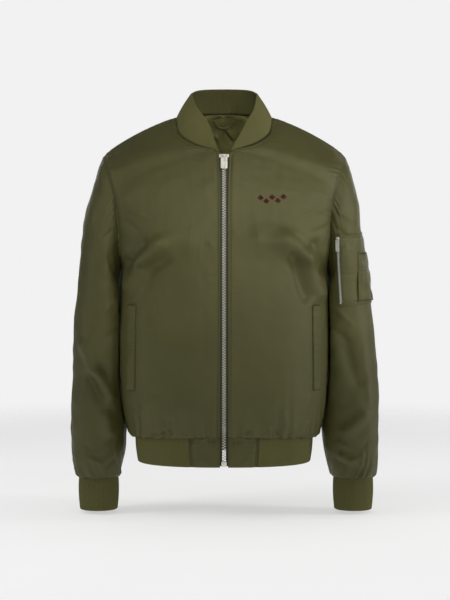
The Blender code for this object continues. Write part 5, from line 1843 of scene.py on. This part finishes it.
def allStitches():
    placket, neck, edge = relief["placketStitch"], relief["neckStitch"], relief["edgeStitch"]
    paths = []
    for grid, tabGrid, mirror in ((frontLeft, tabLeft, False), (frontRight, tabRight, True)):
        paths.append(lineBeside(grid, "first", placket, 2, frontCornerRow - 2, mirror))
        paths.append(lineBeside(grid, "first", neck, frontCornerRow + 2, None, mirror))
        paths.append(lineBeside(grid, "last", edge, underRow + 2, None, mirror, 0.004))
        paths.append(lineBeside(tabGrid, "first", placket, mirror=mirror, trim=0.003))
        paths += [lineBeside(tabGrid, "last", at, mirror=mirror, trim=0.001) for at in tab["stitches"]]
    for grid, atNeck, atSide in ((backLeft, "last", "first"), (backRight, "first", "last")):
        paths.append(lineBeside(grid, atNeck, neck, backCornerRow + 2))
        paths.append(lineBeside(grid, atSide, edge, underRow + 2, trim=0.004))
    for outer, mirror in ((weltLeft, False), (weltRight, True)):
        paths.append(lineBeside(outer, "first", welt["stitches"], mirror=mirror, trim=0.002))
    near, far = sleevePocket["stitches"]
    paths += [lineBeside(pocketOuter, side, near, trim=near) for side in allSides]
    paths += [lineBeside(pocketOuter, side, far, trim=near) for side in ("low", "top")]
    near, far = sleevePocket["penStitches"]
    paths += [lineBeside(penOuter, side, near, trim=near) for side in ("first", "last", "top")]
    paths += [lineBeside(penOuter, "low", at, trim=near) for at in (near, *sleevePocket["penMouth"])]
    paths.append(lineBeside(penOuter, "last", far, trim=near))
    # the short level seams above the welts
    paths.append(acrossPanel(frontRight, 0.186, 0.148, -0.3556, True))
    paths.append(acrossPanel(frontLeft, 0.186, 0.156, -0.3560))
    return paths


def allTacks():
    paths = []
    for outer, mirror in ((weltLeft, False), (weltRight, True)):
        paths += [barOn(outer, (0.06, at), (0.94, at), mirror) for at in (0.010, 0.990)]
    paths += [barOn(penOuter, (0.94, at), (0.60, at)) for at in (0.06, 0.94)]
    paths += [barOn(pocketOuter, (at, 0.03), (at, 0.09)) for at in (0.03, 0.97)]
    return paths


unitRow(
    "topStitching", allStitches(), stitch, sewing["pitch"], sewing["size"], thread,
    uneven=0.12, seed=5,
)
unitRow(
    "barTacks", allTacks(), stitch, sewing["tackPitch"], sewing["tackSize"], thread,
    uneven=0.15, seed=8,
)

# Five small lozenges in dark red satin stitch on the left front, in a zigzag
motif = {
    "places": (
        (0.0665, -0.1550), (0.0770, -0.1612), (0.0875, -0.1540), (0.0980, -0.1602), (0.1085, -0.1532),
    ),
    "halfWidth": 0.0058,
    "lift": 0.0003,
    "threadPitch": 0.00042,
    "threadSize": (0.00030, 0.0062, 0.00050),
}


def lozengePath(x, z):
    line, out = acrossPanel(frontLeft, x - motif["halfWidth"], x + motif["halfWidth"], z)
    return line + out * motif["lift"], out, 1.04 - np.abs(np.linspace(-1, 1, len(line)))


unitRow(
    "chestEmbroidery", [lozengePath(x, z) for x, z in motif["places"]], stitch, motif["threadPitch"],
    motif["threadSize"], redThread, uneven=0.06, seed=3,
)
print("sewing ready")


# The camera, the light, the round floor and the pale surroundings
studio = {
    "cameraAt": (0.0017, -3.0, -0.2),
    "aimZ": -0.347,
    "lens": 94.85,
    "sensor": 36.0,
    "floorZ": -0.752,
    "floorReach": 2.1,
    "floorFade": (1.1, 2.0),  # the floor melts into the pale surroundings between these distances
    "surroundings": 0.888,
    "ambient": 0.15,
}


def addCamera():
    data = bpy.data.cameras.new("camera")
    data.sensor_fit = "VERTICAL"
    data.sensor_height = studio["sensor"]
    data.lens = studio["lens"]
    made = addObject("camera", data)
    x, y, z = studio["cameraAt"]
    made.location = (x, y, z)
    made.rotation_euler = (math.pi / 2 - math.atan2(z - studio["aimZ"], -y), 0, 0)
    bpy.context.scene.camera = made


# "floor" says whether a lamp lights the floor too ("both"), only it ("only") or everything else ("none")
def addLamp(name, place, aim, size, power, beam=0, wide=1.7, floor="both"):
    data = bpy.data.lights.new(name, "SPOT" if beam else "AREA")
    if beam:
        data.spot_size, data.spot_blend = math.radians(beam), 1.0
        data.shadow_soft_size = size[0]
    else:
        data.shape = "RECTANGLE"
        data.size, data.size_y = size
    data.energy = power
    made = addObject(name, data)
    made.visible_camera = False
    made.location = place
    made.scale = (wide if beam else 1, 1, 1)  # a spot is wider or narrower than it is high
    direction = np.array(aim, float) - np.array(place, float)
    made.rotation_euler = (
        math.atan2(math.hypot(direction[0], direction[1]), -direction[2]),
        0,
        math.atan2(direction[0], -direction[1]) + math.pi,
    )
    if floor != "both":
        linked = bpy.data.collections.new(name + "Floor")
        linked.objects.link(bpy.data.objects["floor"])
        linked.collection_objects[0].light_linking.link_state = "INCLUDE" if floor == "only" else "EXCLUDE"
        made.light_linking.receiver_collection = linked
        if floor == "only":
            made.light_linking.blocker_collection = linked


# a round pale floor with a soft edge
def addFloor():
    reach = studio["floorReach"]
    turns = np.linspace(0, 2 * math.pi, 96, endpoint=False)
    points = [(reach * math.cos(turn), reach * math.sin(turn), studio["floorZ"]) for turn in turns]
    mesh = bpy.data.meshes.new("floor")
    mesh.from_pydata(points, [], [list(range(len(points)))])
    made = addObject("floor", mesh)
    pale, tree, shader = newMaterial("paleFloor", {"Roughness": 0.9, "Specular IOR Level": 0.05})
    place = ownPlace(tree)
    paint(tree, shader, noiseNode(tree, place, 3.0), (0.2, (0.91, 0.91, 0.91)), (0.8, (0.93, 0.93, 0.93)))
    flat = vectorNode(tree, "MULTIPLY", {0: place, 1: (1, 1, 0)})
    away = addNode(tree, "ShaderNodeVectorMath", {0: flat}, operation="LENGTH").outputs["Value"]
    low, high = studio["floorFade"]
    ends = {0: away, 1: low, 2: high, 3: 1.0, 4: 0.0}
    fade = addNode(tree, "ShaderNodeMapRange", ends, interpolation_type="SMOOTHSTEP")
    tree.links.new(fade.outputs[0], shader.inputs["Alpha"])
    mesh.materials.append(pale)


# pale surroundings, dimmer as a light than they look
def addSurroundings():
    world = bpy.data.worlds.new("studio")
    world.use_nodes = True
    tree = world.node_tree
    seen = addNode(tree, "ShaderNodeLightPath").outputs["Is Camera Ray"]
    strength = shareNode(tree, seen, studio["surroundings"] - studio["ambient"], studio["ambient"])
    tree.nodes["Background"].inputs["Color"].default_value = (1, 1, 1, 1)
    tree.links.new(strength, tree.nodes["Background"].inputs["Strength"])
    bpy.context.scene.world = world
    bpy.context.scene.view_settings.view_transform = "Standard"


addSurroundings()
addCamera()
addFloor()
addLamp("chestLight", (0.3, -4.0, 0.9), (0, -0.1, -0.175), (0.25, 0.25), 300, beam=9, floor="none")
addLamp("key", (2.2, -2.9, 1.3), (0.06, -0.1, -0.13), (0.25, 0.25), 232, beam=8.5, floor="none")
addLamp("front", (0.5, -4.6, 0.5), (0, 0, -0.35), (2.6, 2.0), 7)
addLamp("sideRight", (3.3, -0.3, 0.25), (0, 0, -0.35), (0.5, 1.2), 29)
addLamp("sideLeft", (-2.9, -1.0, 0.85), (0, 0, -0.35), (1.0, 1.6), 21)
addLamp(
    "sleeveLight", (3.0, -1.4, 0.6), (0.28, -0.02, -0.22), (0.2, 0.2), 165, beam=14, wide=0.55, floor="none",
)
addLamp("neckLight", (-0.25, -1.5, 1.2), (0, 0.03, -0.01), (0.06, 0.06), 14, beam=9, floor="none")
addLamp("backKey", (-1.2, 4.0, 0.8), (0, 0.1, -0.3), (1.8, 1.8), 34, floor="none")
addLamp("backFill", (1.6, 3.6, 0.5), (0, 0.1, -0.3), (2.0, 2.0), 24, floor="none")
addLamp("above", (0.2, -1.6, 2.8), (0, 0, -0.2), (2.0, 2.0), 15, floor="none")
addLamp("floorWash", (0, -0.2, 3.2), (0, 0, -0.75), (5.0, 5.0), 158, floor="only")

for unit in (tooth, stitch):
    bpy.data.objects.remove(unit)

for made, width, length, area, held in clothCuts.values():
    print(f"cut {made.name} {width:.3f} x {length:.3f} m, {area:.4f} m2")
print("triangles", sum(triangleCount.values()), triangleCount)
